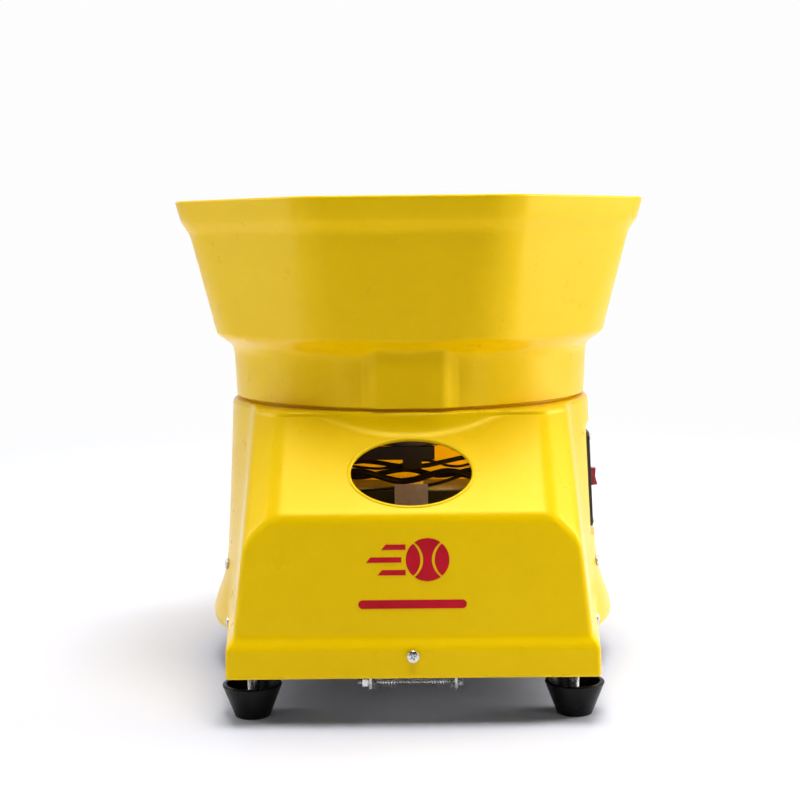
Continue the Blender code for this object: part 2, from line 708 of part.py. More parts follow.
def build_rotor():
    profile = [(5.3, 227.8), (142, 227.8), (143.5, 229.5), (143.5, 244), (141.5, 246),
               (46, 246), (30, 266), (14, 268), (5.3, 268)]
    rotor = rotate(lathe("feed_rotor", profile, 40, GREY), 2.1, "Z")
    for i in range(POCKETS):
        angle = math.radians(-90 + (i + 0.5) * 360 / POCKETS)
        bore(rotor, POCKET_R, 220, 275, POCKET_PITCH_R * math.cos(angle),
             POCKET_PITCH_R * math.sin(angle), 20)
    smooth(rotor)


def build_feed_drive():
    shaft = [(0, 206), (5, 206), (5, 271), (4.4, 272), (0, 272)]
    smooth(lathe("feed_shaft", shaft, 16, STEEL))
    cap = [(5.3, 268.3), (13, 268.3), (13, 272.5), (10, 277), (4, 279), (0, 279.2),
           (0, 272.6), (5.3, 272.6)]
    smooth(lathe("rotor_cap", cap, 20, BLACK), 40)

    gearmotor = box("feed_gearmotor", (-24, -24, 196), (24, 34, 221.6), GREY, 1.5)
    motor = lathe("part", [(0, 0), (16, 0), (17.5, 1.5), (17.5, 64.5), (16, 66), (0, 66)], 20)
    join(gearmotor, move(rotate(motor, -90, "X"), 0, 32, 203))
    cut(gearmotor, cylinder("cutter", 5.5, 205.5, 240, 16))
    smooth(gearmotor)


def build_drop_collar():
    profile = [(35.4, 207), (38.4, 207), (40.5, 221.6), (37.5, 221.6)]
    smooth(move(lathe("drop_collar", profile, 32, GREY), 0, -POCKET_PITCH_R, 0), 40)


def build_sensor_bar():
    bar = box("sensor_bar", (-56, -121.5, 196), (20, -116.5, 207), PAINTED)
    join_boxes(bar, ((-7, -121.5, 188), (9, -113, 198)),      # sensor
               ((-56, -121.5, 200), (-50, -116.5, 221.6)),    # hanger
               ((-62, -124, 219.6), (-44, -110, 221.6)))      # flange under the deck
    smooth(bar)


# ---------------------------------------------------------------- throwing head
def gear_outline(teeth, phase, tooth_numbers):
    """Involute spur gear outline through the numbered teeth, tooth 0 at angle phase."""
    pressure_angle, backlash = math.radians(20.0), 0.35
    pitch_r = teeth * GEAR_MODULE / 2
    base_r = pitch_r * math.cos(pressure_angle)
    tip_r = pitch_r + 0.9 * GEAR_MODULE
    root_r = pitch_r - 1.2 * GEAR_MODULE

    def involute(r):
        roll = math.sqrt(max(r * r - base_r * base_r, 0)) / base_r
        return roll - math.acos(min(1, base_r / r))

    half = math.pi / (2 * teeth) - backlash / (2 * pitch_r) + involute(pitch_r)
    radii = [max(base_r, root_r), pitch_r, (pitch_r + tip_r) / 2, tip_r]
    points = []
    for i in tooth_numbers:
        middle = phase + 2 * math.pi * i / teeth
        rising = [(r, middle - half + involute(r)) for r in radii]
        falling = [(r, middle + half - involute(r)) for r in reversed(radii)]
        if base_r > root_r:                 # radial flanks below the base circle
            rising.insert(0, (root_r, rising[0][1]))
            falling.append((root_r, falling[-1][1]))
        points += [(root_r, middle - math.pi / teeth)] + rising + falling
    return [(r * math.cos(a), r * math.sin(a)) for r, a in points]


def sector_gear():
    teeth = gear_outline(SECTOR_TEETH, math.pi / 2, range(-SECTOR_KEEP, SECTOR_KEEP + 1))
    start, end = ((12 * math.cos(a), 12 * math.sin(a))
                  for a in (math.radians(68), math.radians(112)))
    sector = prism("part", [start] + teeth + [end], GEAR_Z, GEAR_Z + 4)
    return move(sector, YAW_X, YAW_Y, 0)


def build_head_frame():
    frame = box("throwing_head_frame", (-104, -40, -38), (104, 50, -35), PAINTED)
    for s in SIDES:
        join_boxes(frame, ((s * 104 - 1.5, -40, -38), (s * 104 + 1.5, 50, -20)))  # flange
        bore(frame, 9.6, -45, -25, s * WHEEL_X, 0, 18)
        for dx in (-15, 15):
            bore(frame, 2.2, -45, -25, s * WHEEL_X + dx, 0, 8)
    rail = [(16.5, -36), (23, -36), (23, -27.5), (20.5, -27.5)]      # (x, z)
    for s in SIDES:                         # rails for the ball, either side of the guide
        join(frame, hull("part", [(s * x, y, z) for x, z in rail for y in (-38, 44)]))
    transform(frame, HEAD)

    low, high = TURN_Z - 1.5, TURN_Z + 1.5
    turntable = lathe("part", [(5.5, low), (46, low), (46, high), (5.5, high)], 36)
    join(frame, move(turntable, YAW_X, YAW_Y, 0))
    upright = [(-103, 50.5), (-89, 50.5), (-89, 77.2), (-150, 119.9)]    # (y, z)
    for s in SIDES:                         # from the turntable to the sloping plate
        join(frame, hull("part", [(s * x, y, z) for x in (27, 30) for y, z in upright]))
    join(frame, sector_gear())
    bore(frame, 5.5, 40, 60, YAW_X, YAW_Y, 18)
    smooth(frame)
    set_origin(frame, YAW_X, YAW_Y, TURN_Z)


def build_yaw_pivot():
    profile = [(0, 37.5), (8, 37.5), (8, UNDER_PLATE), (5, UNDER_PLATE), (5, 53), (8.5, 53),
               (8.5, 57), (0, 57)]
    smooth(move(lathe("yaw_pivot_bolt", profile, 16, STEEL), YAW_X, YAW_Y, 0))


def head_yz(back, up):
    """World (y, z) of a point in the head frame's middle plane."""
    return (NIP.y - LAUNCH_DIR.y * back + HEAD_UP.y * up,
            NIP.z - LAUNCH_DIR.z * back + HEAD_UP.z * up)


def offset_path(path, distance):
    """Open 2D path moved sideways, with mitred corners."""
    points = [Vector(p) for p in path]
    dirs = [(b - a).normalized() for a, b in zip(points, points[1:])]
    moved = []
    for point, before, after in zip(points, dirs[:1] + dirs, dirs + dirs[-1:]):
        normal = Vector((-before.y, before.x))
        mitre = (normal + Vector((-after.y, after.x))).normalized()
        moved.append((point + mitre * (distance / mitre.dot(normal)))[:])
    return moved


def build_ball_guide():
    """Strip that stops the falling ball and leads it forward between the wheels."""
    middle = [(-45, 163), (-45, 108), (-50, 93), (-62, 81), head_yz(54, -34.1),
              head_yz(20, -34.1)]
    outline = offset_path(middle, 0.6) + offset_path(middle, -0.6)[::-1]
    smooth(prism_x("ball_guide", outline, -15, 15, TREAD))


def build_yaw_drive():
    outline = gear_outline(PINION_TEETH, -math.pi / 2 + math.pi / PINION_TEETH,
                           range(PINION_TEETH))
    pinion = prism("yaw_pinion", outline, GEAR_Z, GEAR_Z + 6, TREAD)
    join(pinion, cylinder("part", 3.0, 54, 66, 12))
    move(pinion, 0, PINION_Y, 0)
    smooth(pinion, 20)
    set_origin(pinion, 0, PINION_Y, TURN_Z)

    motor = box("yaw_gearmotor", (-18, PINION_Y - 12, 58.6), (18, PINION_Y + 30, 92), GREY, 1.2)
    join_boxes(motor, ((-18, PINION_Y + 20, ON_PLATE), (18, PINION_Y + 29, 62)),
               ((-18, PINION_Y + 20, ON_PLATE), (18, PINION_Y + 40, ON_PLATE + 2)))
    bore(motor, 3.4, 50, 67, 0, PINION_Y, 12)
    smooth(motor)


def build_wheel(s, side):
    """Motor, hub with shaft, tyre and nut of one throwing wheel."""
    frame = HEAD @ Matrix.Translation(Vector((s * WHEEL_X, 0, 0)) * MM)
    motor = lathe("wheel_motor_" + side, [(0, -84), (18, -84), (21, -82), (21, -40),
                                          (20, -38.4), (9, -38.4), (9, -33), (0, -33)], 28, ALU)
    cut(motor, cylinder("cutter", 4.6, -42, -25, 12))
    smooth(transform(motor, frame))

    hub = lathe("wheel_hub_" + side, [
        (0, -41), (4, -41), (4, -14), (13, -14), (13, -8), (33.4, -8), (33.4, 8), (13, 8),
        (13, 12), (4.6, 12), (4.6, 17.5), (0, 17.5)], 32, ALU)
    for i in range(5):
        angle = 2 * math.pi * i / 5 + 0.13
        bore(hub, 6.2, -12, 12, 23 * math.cos(angle), 23 * math.sin(angle), 14)
    smooth(transform(hub, frame))

    half = WHEEL_W / 2
    tyre = lathe("wheel_tyre_" + side, [
        (33.7, -13), (35, -half), (43, -half), (44.6, -12), (44.2, 0), (44.6, 12), (43, half),
        (35, half), (33.7, 13)], 32, TREAD)
    smooth(transform(tyre, frame), 35)

    nut = [(5.6, 12.3), (9.4, 12.3), (9.4, 18), (5.6, 18)]
    transform(lathe("wheel_nut_" + side, nut, 6, STEEL), frame)


# ---------------------------------------------------------------- battery and circuit board
def build_battery():
    battery = box("battery", (-75.5, 64, 47.0), (75.5, 129, 141), BLACK, 1.5)
    for s in SIDES:                         # terminals
        join_boxes(battery, ((s * 60 - 4, 70, 138), (s * 60 + 4, 78, 146)))
    smooth(battery)

    strap = box("battery_strap", (-12, 61.5, ON_PLATE), (12, 131.5, 143.4), STEEL)
    cut(strap, box("cutter", (-20, 63.6, 40), (20, 129.4, 141.5)))
    join_boxes(strap, ((-12, 52, ON_PLATE), (12, 62, 48.6)),
               ((-12, 131, ON_PLATE), (12, 141, 48.6)))
    smooth(strap)


def build_control_board():
    board = box("control_board", (-120, 0, 70), (-118.4, 82, 160), PCB)
    components = [                          # (y0, z0), (outer x, y1, z1)
        ((8, 82), (-104, 30, 108)), ((40, 80), (-110, 74, 92)), ((36, 104), (-106, 50, 118)),
        ((58, 104), (-106, 72, 118)), ((8, 124), (-112, 30, 150)),
        ((40, 130), (-109, 76, 150))]
    join_boxes(board, *(((-118.6, *low), high) for low, high in components))
    smooth(board)


# ---------------------------------------------------------------- build
for old in list(bpy.data.objects):
    bpy.data.objects.remove(old, do_unlink=True)

build_casing()
build_base_plate()
build_feet()
build_casing_screws()

build_panel()
build_panel_screws()
build_switch()
build_power_inlet()
build_lamp()

build_stand_bracket()
build_stand_pivot()
build_stand_springs()
build_stand()

build_hopper()

build_deck()
build_deck_posts()
build_rotor()
build_feed_drive()
build_drop_collar()
build_sensor_bar()

build_head_frame()
build_yaw_pivot()
build_ball_guide()
build_yaw_drive()
for wheel_side, side_name in zip(SIDES, ("left", "right")):
    build_wheel(wheel_side, side_name)

build_battery()
build_control_board()

for piece in bpy.context.scene.objects:
    piece.location.y += CENTRE_SHIFT_Y * MM
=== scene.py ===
# A ball thrower: a round yellow base cover with a sloped outlet nose, and an eight-sided
# yellow hopper above it. +Z is up, the outlet faces -Y, and left is -X.
# Shapes are drawn in millimetres from the hopper's vertical axis, with z = 0 at the floor.
import math

import bpy
import bmesh
import numpy as np
from mathutils import Matrix, Vector


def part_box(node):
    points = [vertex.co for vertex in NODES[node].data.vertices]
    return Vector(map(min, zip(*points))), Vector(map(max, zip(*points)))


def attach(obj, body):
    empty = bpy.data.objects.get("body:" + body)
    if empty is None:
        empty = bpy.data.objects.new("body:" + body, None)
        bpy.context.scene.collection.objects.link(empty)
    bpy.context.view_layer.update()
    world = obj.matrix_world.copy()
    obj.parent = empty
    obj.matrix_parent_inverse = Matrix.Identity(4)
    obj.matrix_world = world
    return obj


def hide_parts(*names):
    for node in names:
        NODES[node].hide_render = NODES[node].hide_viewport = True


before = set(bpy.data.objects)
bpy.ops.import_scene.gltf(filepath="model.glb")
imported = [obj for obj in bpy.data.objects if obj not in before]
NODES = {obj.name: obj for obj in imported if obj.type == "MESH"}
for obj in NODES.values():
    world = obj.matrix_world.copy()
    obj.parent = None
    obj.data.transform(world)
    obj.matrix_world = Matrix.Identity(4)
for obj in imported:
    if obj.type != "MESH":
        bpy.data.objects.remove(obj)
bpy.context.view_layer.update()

MM = 0.001
hopper_low, hopper_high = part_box("hopper")
AXIS_Y = (hopper_low.y + hopper_high.y) / 2      # world y of the hopper axis, metres
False
SIDES = ((-1, "left"), (1, "right"))
X_AXIS = Vector((1, 0, 0))

# Main sizes, mm and radians
FRONT_Y, BROW_Z = -232, 167                      # edge where the nose front meets its slope
FRONT_SLOPE = 0.028                              # how far the front leans back per mm of height
LEAN = math.radians(50)                          # angle of the sloped face from level
COVER_WALL, HOPPER_WALL = 3.5, 3.2
PANEL_X, PANEL_Z = 158.8, 165.0                  # middle of the panel seat, on the right side
PANEL_TILT = math.radians(2.5)


# ================================================================== shader helpers
class Graph:
    """Short ways to add nodes to a node tree."""

    def __init__(self, tree):
        self.tree = tree

    def feed(self, socket, value):
        """Link a socket into the input, or set its value."""
        if isinstance(value, bpy.types.NodeSocket):
            self.tree.links.new(value, socket)
        elif isinstance(value, tuple) and len(value) == 3 and socket.type == "RGBA":
            socket.default_value = (*value, 1)
        else:
            socket.default_value = value

    def node(self, kind, inputs=None, **settings):
        node = self.tree.nodes.new(kind)
        for key, value in settings.items():
            setattr(node, key, value)
        for key, value in (inputs or {}).items():
            self.feed(node.inputs[key], value)
        return node

    def camera_only(self, seen, lit, output, gate=None):
        """Show `seen` to the camera, scaled by the gate, and `lit` to every other ray."""
        share = self.node("ShaderNodeLightPath").outputs["Is Camera Ray"]
        if gate is not None:
            share = self.node("ShaderNodeMath", {0: share, 1: gate},
                              operation="MULTIPLY").outputs[0]
        mix = self.node("ShaderNodeMixShader", {0: share, 1: lit, 2: seen})
        self.feed(output, mix.outputs[0])


class Shader(Graph):
    """A material with one Principled node, textured in object coordinates."""

    def __init__(self, name):
        self.material = bpy.data.materials.new(name)
        self.material.use_nodes = True
        super().__init__(self.material.node_tree)
        self.tree.nodes.clear()
        self.output = self.node("ShaderNodeOutputMaterial")
        self.bsdf = self.node("ShaderNodeBsdfPrincipled")
        self.feed(self.output.inputs[0], self.bsdf.outputs[0])
        self.coords = self.node("ShaderNodeTexCoord").outputs["Object"]

    def stretched(self, scale, rotation=(0, 0, 0)):
        return self.node("ShaderNodeMapping", {
            "Scale": scale, "Rotation": rotation, "Vector": self.coords}).outputs[0]

    def noise(self, scale, detail=3.0, rough=0.5, coords=None):
        return self.node("ShaderNodeTexNoise", {
            "Scale": scale, "Detail": detail, "Roughness": rough,
            "Vector": coords or self.coords}).outputs["Fac"]

    def voronoi(self, scale, feature="SMOOTH_F1"):
        return self.node("ShaderNodeTexVoronoi", {"Scale": scale, "Vector": self.coords},
                         feature=feature).outputs["Distance"]

    def remap(self, value, span, to):
        return self.node("ShaderNodeMapRange", {
            "From Min": span[0], "From Max": span[1],
            "To Min": to[0], "To Max": to[1], "Value": value}).outputs[0]

    def add(self, a, b):
        return self.node("ShaderNodeMath", {0: a, 1: b}, operation="ADD").outputs[0]

    def times(self, a, b):
        return self.node("ShaderNodeMath", {0: a, 1: b}, operation="MULTIPLY").outputs[0]

    def ramp(self, value, low, high, span=(0.3, 0.7)):
        """Blend from the low to the high colour over the span."""
        node = self.node("ShaderNodeValToRGB", {0: value})
        for stop, place, colour in zip(node.color_ramp.elements, span, (low, high)):
            stop.position = place
            stop.color = (*colour, 1)
        return node.outputs[0]

    def mix(self, factor, a, b):
        return self.node("ShaderNodeMix", {0: factor, 6: a, 7: b}, data_type="RGBA").outputs[2]

    def bump(self, height, strength, distance, normal=None):
        node = self.node("ShaderNodeBump", {
            "Strength": strength, "Distance": distance, "Height": height})
        if normal is not None:
            self.feed(node.inputs["Normal"], normal)
        return node.outputs[0]

    def bevel(self, radius):
        return self.node("ShaderNodeBevel", {"Radius": radius}, samples=4).outputs[0]

    def finish(self, **inputs):
        """Fill the Principled inputs; underscores stand for spaces."""
        for key, value in inputs.items():
            self.feed(self.bsdf.inputs[key.replace("_", " ")], value)
        return self.material


def srgb(*channels):
    """Linear colour from 0-255 sRGB channels."""
    def linear(c):
        c /= 255
        return c / 12.92 if c <= 0.04045 else ((c + 0.055) / 1.055) ** 2.4
    return tuple(linear(c) for c in channels)


def shade(colour, factor, lift=0.0):
    return tuple(min(1, c * factor + lift) for c in colour)


# ================================================================== materials
def yellow_shell():
    """Moulded satin plastic: pebble texture, slight colour drift, light through the wall."""
    s = Shader("yellow_shell")
    drift = s.ramp(s.noise(scale=5.5, detail=3, rough=0.55),
                   low=srgb(243, 200, 0), high=srgb(249, 207, 0))
    speckle = s.remap(s.noise(scale=60, detail=2), span=(0.3, 0.8), to=(0.0, 0.10))
    # two sizes of small rounded bumps, roughened by noise
    large = s.times(s.voronoi(scale=620), 0.6)
    small = s.times(s.voronoi(scale=1150), 0.3)
    grit = s.times(s.noise(scale=900, detail=2, rough=0.6), 0.5)
    pebble = s.bump(s.add(large, s.add(small, grit)), strength=0.30, distance=0.00030)
    waves = s.noise(scale=16, detail=2)
    return s.finish(
        Base_Color=s.mix(speckle, drift, srgb(228, 184, 0)),
        Roughness=s.remap(s.noise(scale=45, rough=0.6), span=(0.3, 0.7), to=(0.27, 0.34)),
        Normal=s.bump(waves, strength=0.10, distance=0.0012, normal=pebble),
        Specular_IOR_Level=0.5, Specular_Tint=(1.0, 0.84, 0.16),
        Subsurface_Weight=0.06, Subsurface_Radius=(0.006, 0.004, 0.0006),
        Subsurface_Scale=1.0)


def plastic(name, rgb, rough=0.45, grain=700, depth=0.00015, dust=0.04, spec=0.5):
    s = Shader(name)
    colour = s.ramp(s.noise(scale=14, rough=0.6),
                    low=shade(rgb, 0.8), high=shade(rgb, 1.2, lift=0.003))
    dusty = s.remap(s.noise(scale=90, detail=4, rough=0.65), span=(0.55, 0.85), to=(0.0, dust))
    height = s.add(s.times(s.voronoi(scale=grain), 0.7),
                   s.times(s.noise(scale=grain * 1.6, detail=2, rough=0.6), 0.5))
    return s.finish(
        Base_Color=s.mix(dusty, colour, (0.42, 0.41, 0.39)),
        Roughness=s.remap(s.noise(scale=50, rough=0.6), span=(0.3, 0.7),
                          to=(rough - 0.06, rough + 0.08)),
        Normal=s.bump(height, strength=0.5, distance=depth, normal=s.bevel(radius=0.0004)),
        Specular_IOR_Level=spec)


def black_rubber():
    """Dark rubber with faint level rings and a little dust."""
    s = Shader("rubber_black")
    colour = s.ramp(s.noise(scale=30, detail=4, rough=0.65), span=(0.3, 0.75),
                    low=(0.0035, 0.0035, 0.004), high=(0.008, 0.008, 0.009))
    rings = s.node("ShaderNodeTexWave", {"Scale": 260, "Distortion": 0.4, "Vector": s.coords},
                   wave_type="BANDS", bands_direction="Z").outputs["Fac"]
    height = s.add(s.times(rings, 0.25), s.noise(scale=420, rough=0.6))
    dust = s.remap(s.noise(scale=160, detail=4, rough=0.7), span=(0.60, 0.85), to=(0, 0.05))
    return s.finish(
        Base_Color=s.mix(dust, colour, (0.2, 0.19, 0.18)),
        Roughness=s.remap(s.noise(scale=70, detail=2), span=(0.3, 0.7), to=(0.26, 0.40)),
        Normal=s.bump(height, strength=0.25, distance=0.00015),
        Specular_IOR_Level=0.15)


def brushed_metal(name, tint, rough, streak):
    """Spangled metal with stains; `streak` is the brush noise scale along x, y and z."""
    s = Shader(name)
    tone = s.add(s.times(s.voronoi(scale=260, feature="F1"), 0.5),
                 s.times(s.noise(scale=40, detail=4, rough=0.6), 0.7))
    base = s.ramp(tone, low=shade(tint, 0.78), high=shade(tint, 1.15), span=(0.25, 0.8))
    brush = s.noise(scale=1, rough=0.6, coords=s.stretched(streak))
    stain = s.remap(s.noise(scale=120, detail=5, rough=0.7), span=(0.6, 0.8), to=(0, 0.45))
    worn = s.remap(brush, span=(0.3, 0.7), to=(rough - 0.08, rough + 0.10))
    return s.finish(
        Base_Color=s.mix(stain, base, (0.30, 0.27, 0.22)), Metallic=1.0,
        Roughness=s.add(worn, s.times(stain, 0.25)),
        Normal=s.bump(brush, strength=0.14, distance=0.0001, normal=s.bevel(radius=0.0003)))


def painted(name, rgb, rough=0.5):
    """Paint with a light orange peel, worn to metal in small specks."""
    s = Shader(name)
    peel = s.noise(scale=380, detail=2)
    colour = s.ramp(s.noise(scale=22, rough=0.6),
                    low=shade(rgb, 0.75), high=shade(rgb, 1.3, lift=0.002))
    specks = s.remap(s.noise(scale=900, detail=2), span=(0.72, 0.8), to=(0.0, 0.5))
    patches = s.remap(s.noise(scale=220, detail=4, rough=0.7), span=(0.45, 0.6), to=(0, 1))
    worn = s.times(specks, patches)
    return s.finish(
        Base_Color=s.mix(worn, colour, (0.42, 0.40, 0.38)), Metallic=s.times(worn, 0.9),
        Roughness=s.remap(peel, span=(0.3, 0.7), to=(rough - 0.05, rough + 0.08)),
        Normal=s.bump(peel, strength=0.25, distance=0.0002, normal=s.bevel(radius=0.0005)))


def grey_urethane():
    """Matt grey with scuffs round it and yellow-green fuzz."""
    s = Shader("urethane_grey")
    base = s.ramp(s.noise(scale=60, detail=4, rough=0.65),
                  low=srgb(176, 165, 156), high=srgb(205, 195, 186))
    fuzz = s.remap(s.noise(scale=300, detail=4, rough=0.75), span=(0.58, 0.78), to=(0, 0.7))
    streaks = s.noise(scale=1, detail=4, rough=0.7, coords=s.stretched((50, 420, 420)))
    scuff = s.remap(streaks, span=(0.55, 0.8), to=(0, 0.5))
    fuzzy = s.mix(fuzz, base, srgb(150, 150, 96))
    grain = s.noise(scale=520, detail=4, rough=0.7)
    return s.finish(
        Base_Color=s.mix(scuff, fuzzy, srgb(104, 96, 90)), Roughness=0.72,
        Normal=s.bump(grain, strength=0.5, distance=0.00025))


def circuit_board():
    """Green tracks in a brick pattern with pale round pads."""
    s = Shader("board_green")
    tracks = s.node("ShaderNodeTexBrick", {
        "Vector": s.stretched((90, 90, 90), rotation=(0, math.pi / 2, 0)),
        "Scale": 1.6, "Mortar Size": 0.03, "Color1": (0.012, 0.10, 0.03),
        "Color2": (0.018, 0.14, 0.045), "Mortar": (0.05, 0.24, 0.09)})
    pads = s.remap(s.voronoi(scale=330, feature="F1"), span=(0.12, 0.2), to=(1, 0))
    return s.finish(
        Base_Color=s.mix(s.times(pads, 0.8), tracks.outputs["Color"], (0.62, 0.58, 0.42)),
        Roughness=0.35, Coat_Weight=0.5,
        Normal=s.bump(tracks.outputs["Fac"], strength=0.3, distance=0.0001))


def gloss(name, rgb, rough, glow=0.0):
    """Coated plastic with fine scratches, and a glow of its own if asked."""
    s = Shader(name)
    colour = s.ramp(s.noise(scale=40, rough=0.6), low=shade(rgb, 0.85), high=shade(rgb, 1.12))
    scratch = s.noise(scale=1, rough=0.7, coords=s.stretched((700, 700, 60)))
    if glow:
        s.finish(Emission_Color=rgb, Emission_Strength=glow)
    return s.finish(
        Base_Color=colour, Coat_Weight=0.5, Coat_Roughness=0.08,
        Roughness=s.remap(scratch, span=(0.4, 0.7), to=(rough, rough + 0.14)),
        Normal=s.bump(scratch, strength=0.08, distance=0.0001, normal=s.bevel(radius=0.0004)))


MATERIALS = {
    "yellow": yellow_shell(),
    "black": plastic("black_moulded", (0.016, 0.016, 0.017), rough=0.36),
    "grey": plastic("grey_moulded", srgb(88, 88, 90), rough=0.5),
    "battery": plastic("battery_case", (0.02, 0.021, 0.024), rough=0.42),
    "rubber": black_rubber(),
    "zinc": brushed_metal("zinc_plate", tint=(0.70, 0.70, 0.69), rough=0.26,
                          streak=(900, 40, 900)),
    "painted": painted("black_coat", (0.018, 0.018, 0.018)),
    "tread": grey_urethane(),
    "alu": brushed_metal("turned_aluminium", tint=(0.72, 0.72, 0.73), rough=0.34,
                         streak=(300, 300, 1600)),
    "pcb": circuit_board(),
    "red": gloss("rocker_red", srgb(186, 16, 26), rough=0.2),
    "green": gloss("lens_green", srgb(30, 170, 60), rough=0.1, glow=0.15),
    "emblem": plastic("emblem_red", srgb(196, 10, 34), rough=0.5, grain=900, depth=0.00005,
                      dust=0.0, spec=0.15),
    "cable": plastic("cable_sheath", (0.012, 0.012, 0.012), rough=0.42, grain=900,
                     depth=0.0001),
}


# ================================================================== mesh helpers
def link(name, data):
    obj = bpy.data.objects.new(name, data)
    bpy.context.scene.collection.objects.link(obj)
    return obj


def fix_normals(obj):
    bm = bmesh.new()
    bm.from_mesh(obj.data)
    bmesh.ops.recalc_face_normals(bm, faces=bm.faces)
    bm.to_mesh(obj.data)
    bm.free()


def mesh_obj(name, verts, faces, mat, body="root", angle=None):
    """Smooth object from mm points; edges sharper than `angle` degrees stay sharp."""
    verts = np.asarray(verts, float) * MM
    verts[:, 1] += AXIS_Y
    data = bpy.data.meshes.new(name)
    data.from_pydata(verts.tolist(), [], faces)
    data.validate()
    data.update()
    obj = link(name, data)
    data.materials.append(MATERIALS[mat])
    data.shade_smooth()
    if angle:
        data.set_sharp_from_angle(angle=math.radians(angle))
    if body:
        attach(obj, body)
    fix_normals(obj)
    return obj


def piece(obj, node=None):
    """Hide the CAD node that the piece stands in for."""
    if node:
        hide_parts(node)


def ring_faces(n_rings, n, closed=False):
    """Quads between neighbouring rings of n points."""
    faces = []
    for i in range(n_rings if closed else n_rings - 1):
        a, b = i * n, ((i + 1) % n_rings) * n
        faces += [(a + j, a + (j + 1) % n, b + (j + 1) % n, b + j) for j in range(n)]
    return faces


def caps(n_rings, n):
    """Flat ends on the first and last ring."""
    return [tuple(range(n))[::-1], tuple(range((n_rings - 1) * n, n_rings * n))]


def ring(angles, radius, z):
    return np.stack([radius * np.cos(angles), radius * np.sin(angles),
                     np.full(len(angles), z)], 1)


def fillet(points, seg):
    """Round the corners of a closed outline of (r, z, corner radius) points."""
    out = []
    n = len(points)
    for i, (*_, radius) in enumerate(points):
        before, corner, after = (np.array(points[(i + k) % n][:2], float) for k in (-1, 0, 1))
        a, b = before - corner, after - corner
        len_a, len_b = np.linalg.norm(a), np.linalg.norm(b)
        if radius <= 0 or len_a < 1e-6 or len_b < 1e-6:
            out.append(tuple(corner))
            continue
        a /= len_a
        b /= len_b
        angle = math.acos(max(-1, min(1, float(a @ b))))
        if angle > math.pi - 0.03:
            out.append(tuple(corner))
            continue
        # the arc may use up to 0.48 of each neighbouring edge
        reach = min(radius / math.tan(angle / 2), 0.48 * len_a, 0.48 * len_b)
        radius = reach * math.tan(angle / 2)
        bisector = (a + b) / np.linalg.norm(a + b)
        centre = corner + bisector * (radius / math.sin(angle / 2))
        start, end = (math.atan2(*(corner + d * reach - centre)[::-1]) for d in (a, b))
        while end - start > math.pi:
            end -= 2 * math.pi
        while end - start < -math.pi:
            end += 2 * math.pi
        for k in range(seg + 1):
            t = start + (end - start) * k / seg
            out.append((centre[0] + radius * math.cos(t), centre[1] + radius * math.sin(t)))
    return out


def lathe(name, outline, mat, n, place, angle, body="root"):
    """Turn a closed outline of (r, z) about z, then place it; r = 0 gives a pole."""
    verts, rings = [], []
    for r, z in outline:
        if r < 1e-6:
            rings.append([len(verts)])
            verts.append((0, 0, z))
        else:
            rings.append(list(range(len(verts), len(verts) + n)))
            verts += [(r * math.cos(2 * math.pi * i / n), r * math.sin(2 * math.pi * i / n), z)
                      for i in range(n)]
    faces = []
    for a, b in zip(rings, rings[1:] + rings[:1]):
        if len(a) == 1 and len(b) == 1:
            continue
        for i in range(n):
            j = (i + 1) % n
            if len(a) == 1:
                faces.append((a[0], b[i], b[j]))
            elif len(b) == 1:
                faces.append((a[i], a[j], b[0]))
            else:
                faces.append((a[i], a[j], b[j], b[i]))
    verts = np.array(verts, float) @ np.array(place.to_3x3()).T + np.array(place.translation)
    return mesh_obj(name, verts, faces, mat, body, angle)


def sweep(name, path, radius, mat, sides, closed=False):
    """Round tube along a path."""
    path = [Vector(p) for p in path]
    n = len(path)
    verts, across = [], None
    for i, p in enumerate(path):
        if closed:
            along = (path[(i + 1) % n] - path[i - 1]).normalized()
        else:
            along = (path[min(i + 1, n - 1)] - path[max(i - 1, 0)]).normalized()
        if across is None:
            across = X_AXIS if abs(along.x) < 0.9 else Vector((0, 0, 1))
        # carry the last frame forward, so that the tube doesn't twist
        across = (across - along * across.dot(along)).normalized()
        other = along.cross(across)
        for k in range(sides):
            t = 2 * math.pi * k / sides
            verts.append(tuple(p + (across * math.cos(t) + other * math.sin(t)) * radius))
    faces = ring_faces(n, sides, closed)
    if not closed:
        faces += caps(n, sides)
    return mesh_obj(name, verts, faces, mat, angle=50)


def spline(points, per):
    """Catmull-Rom curve through the points, with `per` steps to a span."""
    pts = [Vector(p) for p in points]
    pts = [pts[0] * 2 - pts[1]] + pts + [pts[-1] * 2 - pts[-2]]
    out = []
    for i in range(1, len(pts) - 2):
        a, b, c, d = pts[i - 1:i + 3]
        for k in range(per):
            t = k / per
            out.append(0.5 * ((2 * b) + (c - a) * t + (2 * a - 5 * b + 4 * c - d) * t * t
                              + (3 * b - a - 3 * c + d) * t ** 3))
    return out + [pts[-2]]


def cutter(name, points, faces):
    """Plain solid for cutting, from points in metres."""
    data = bpy.data.meshes.new(name)
    data.from_pydata(points, [], faces)
    obj = link(name, data)
    fix_normals(obj)
    return obj


def prism_cutter(name, points):
    """Cutter between two equal loops, from points in metres off the hopper axis."""
    points = np.array(points, float)
    points[:, 1] += AXIS_Y
    n = len(points) // 2
    return cutter(name, points.tolist(), caps(2, n) + ring_faces(2, n))


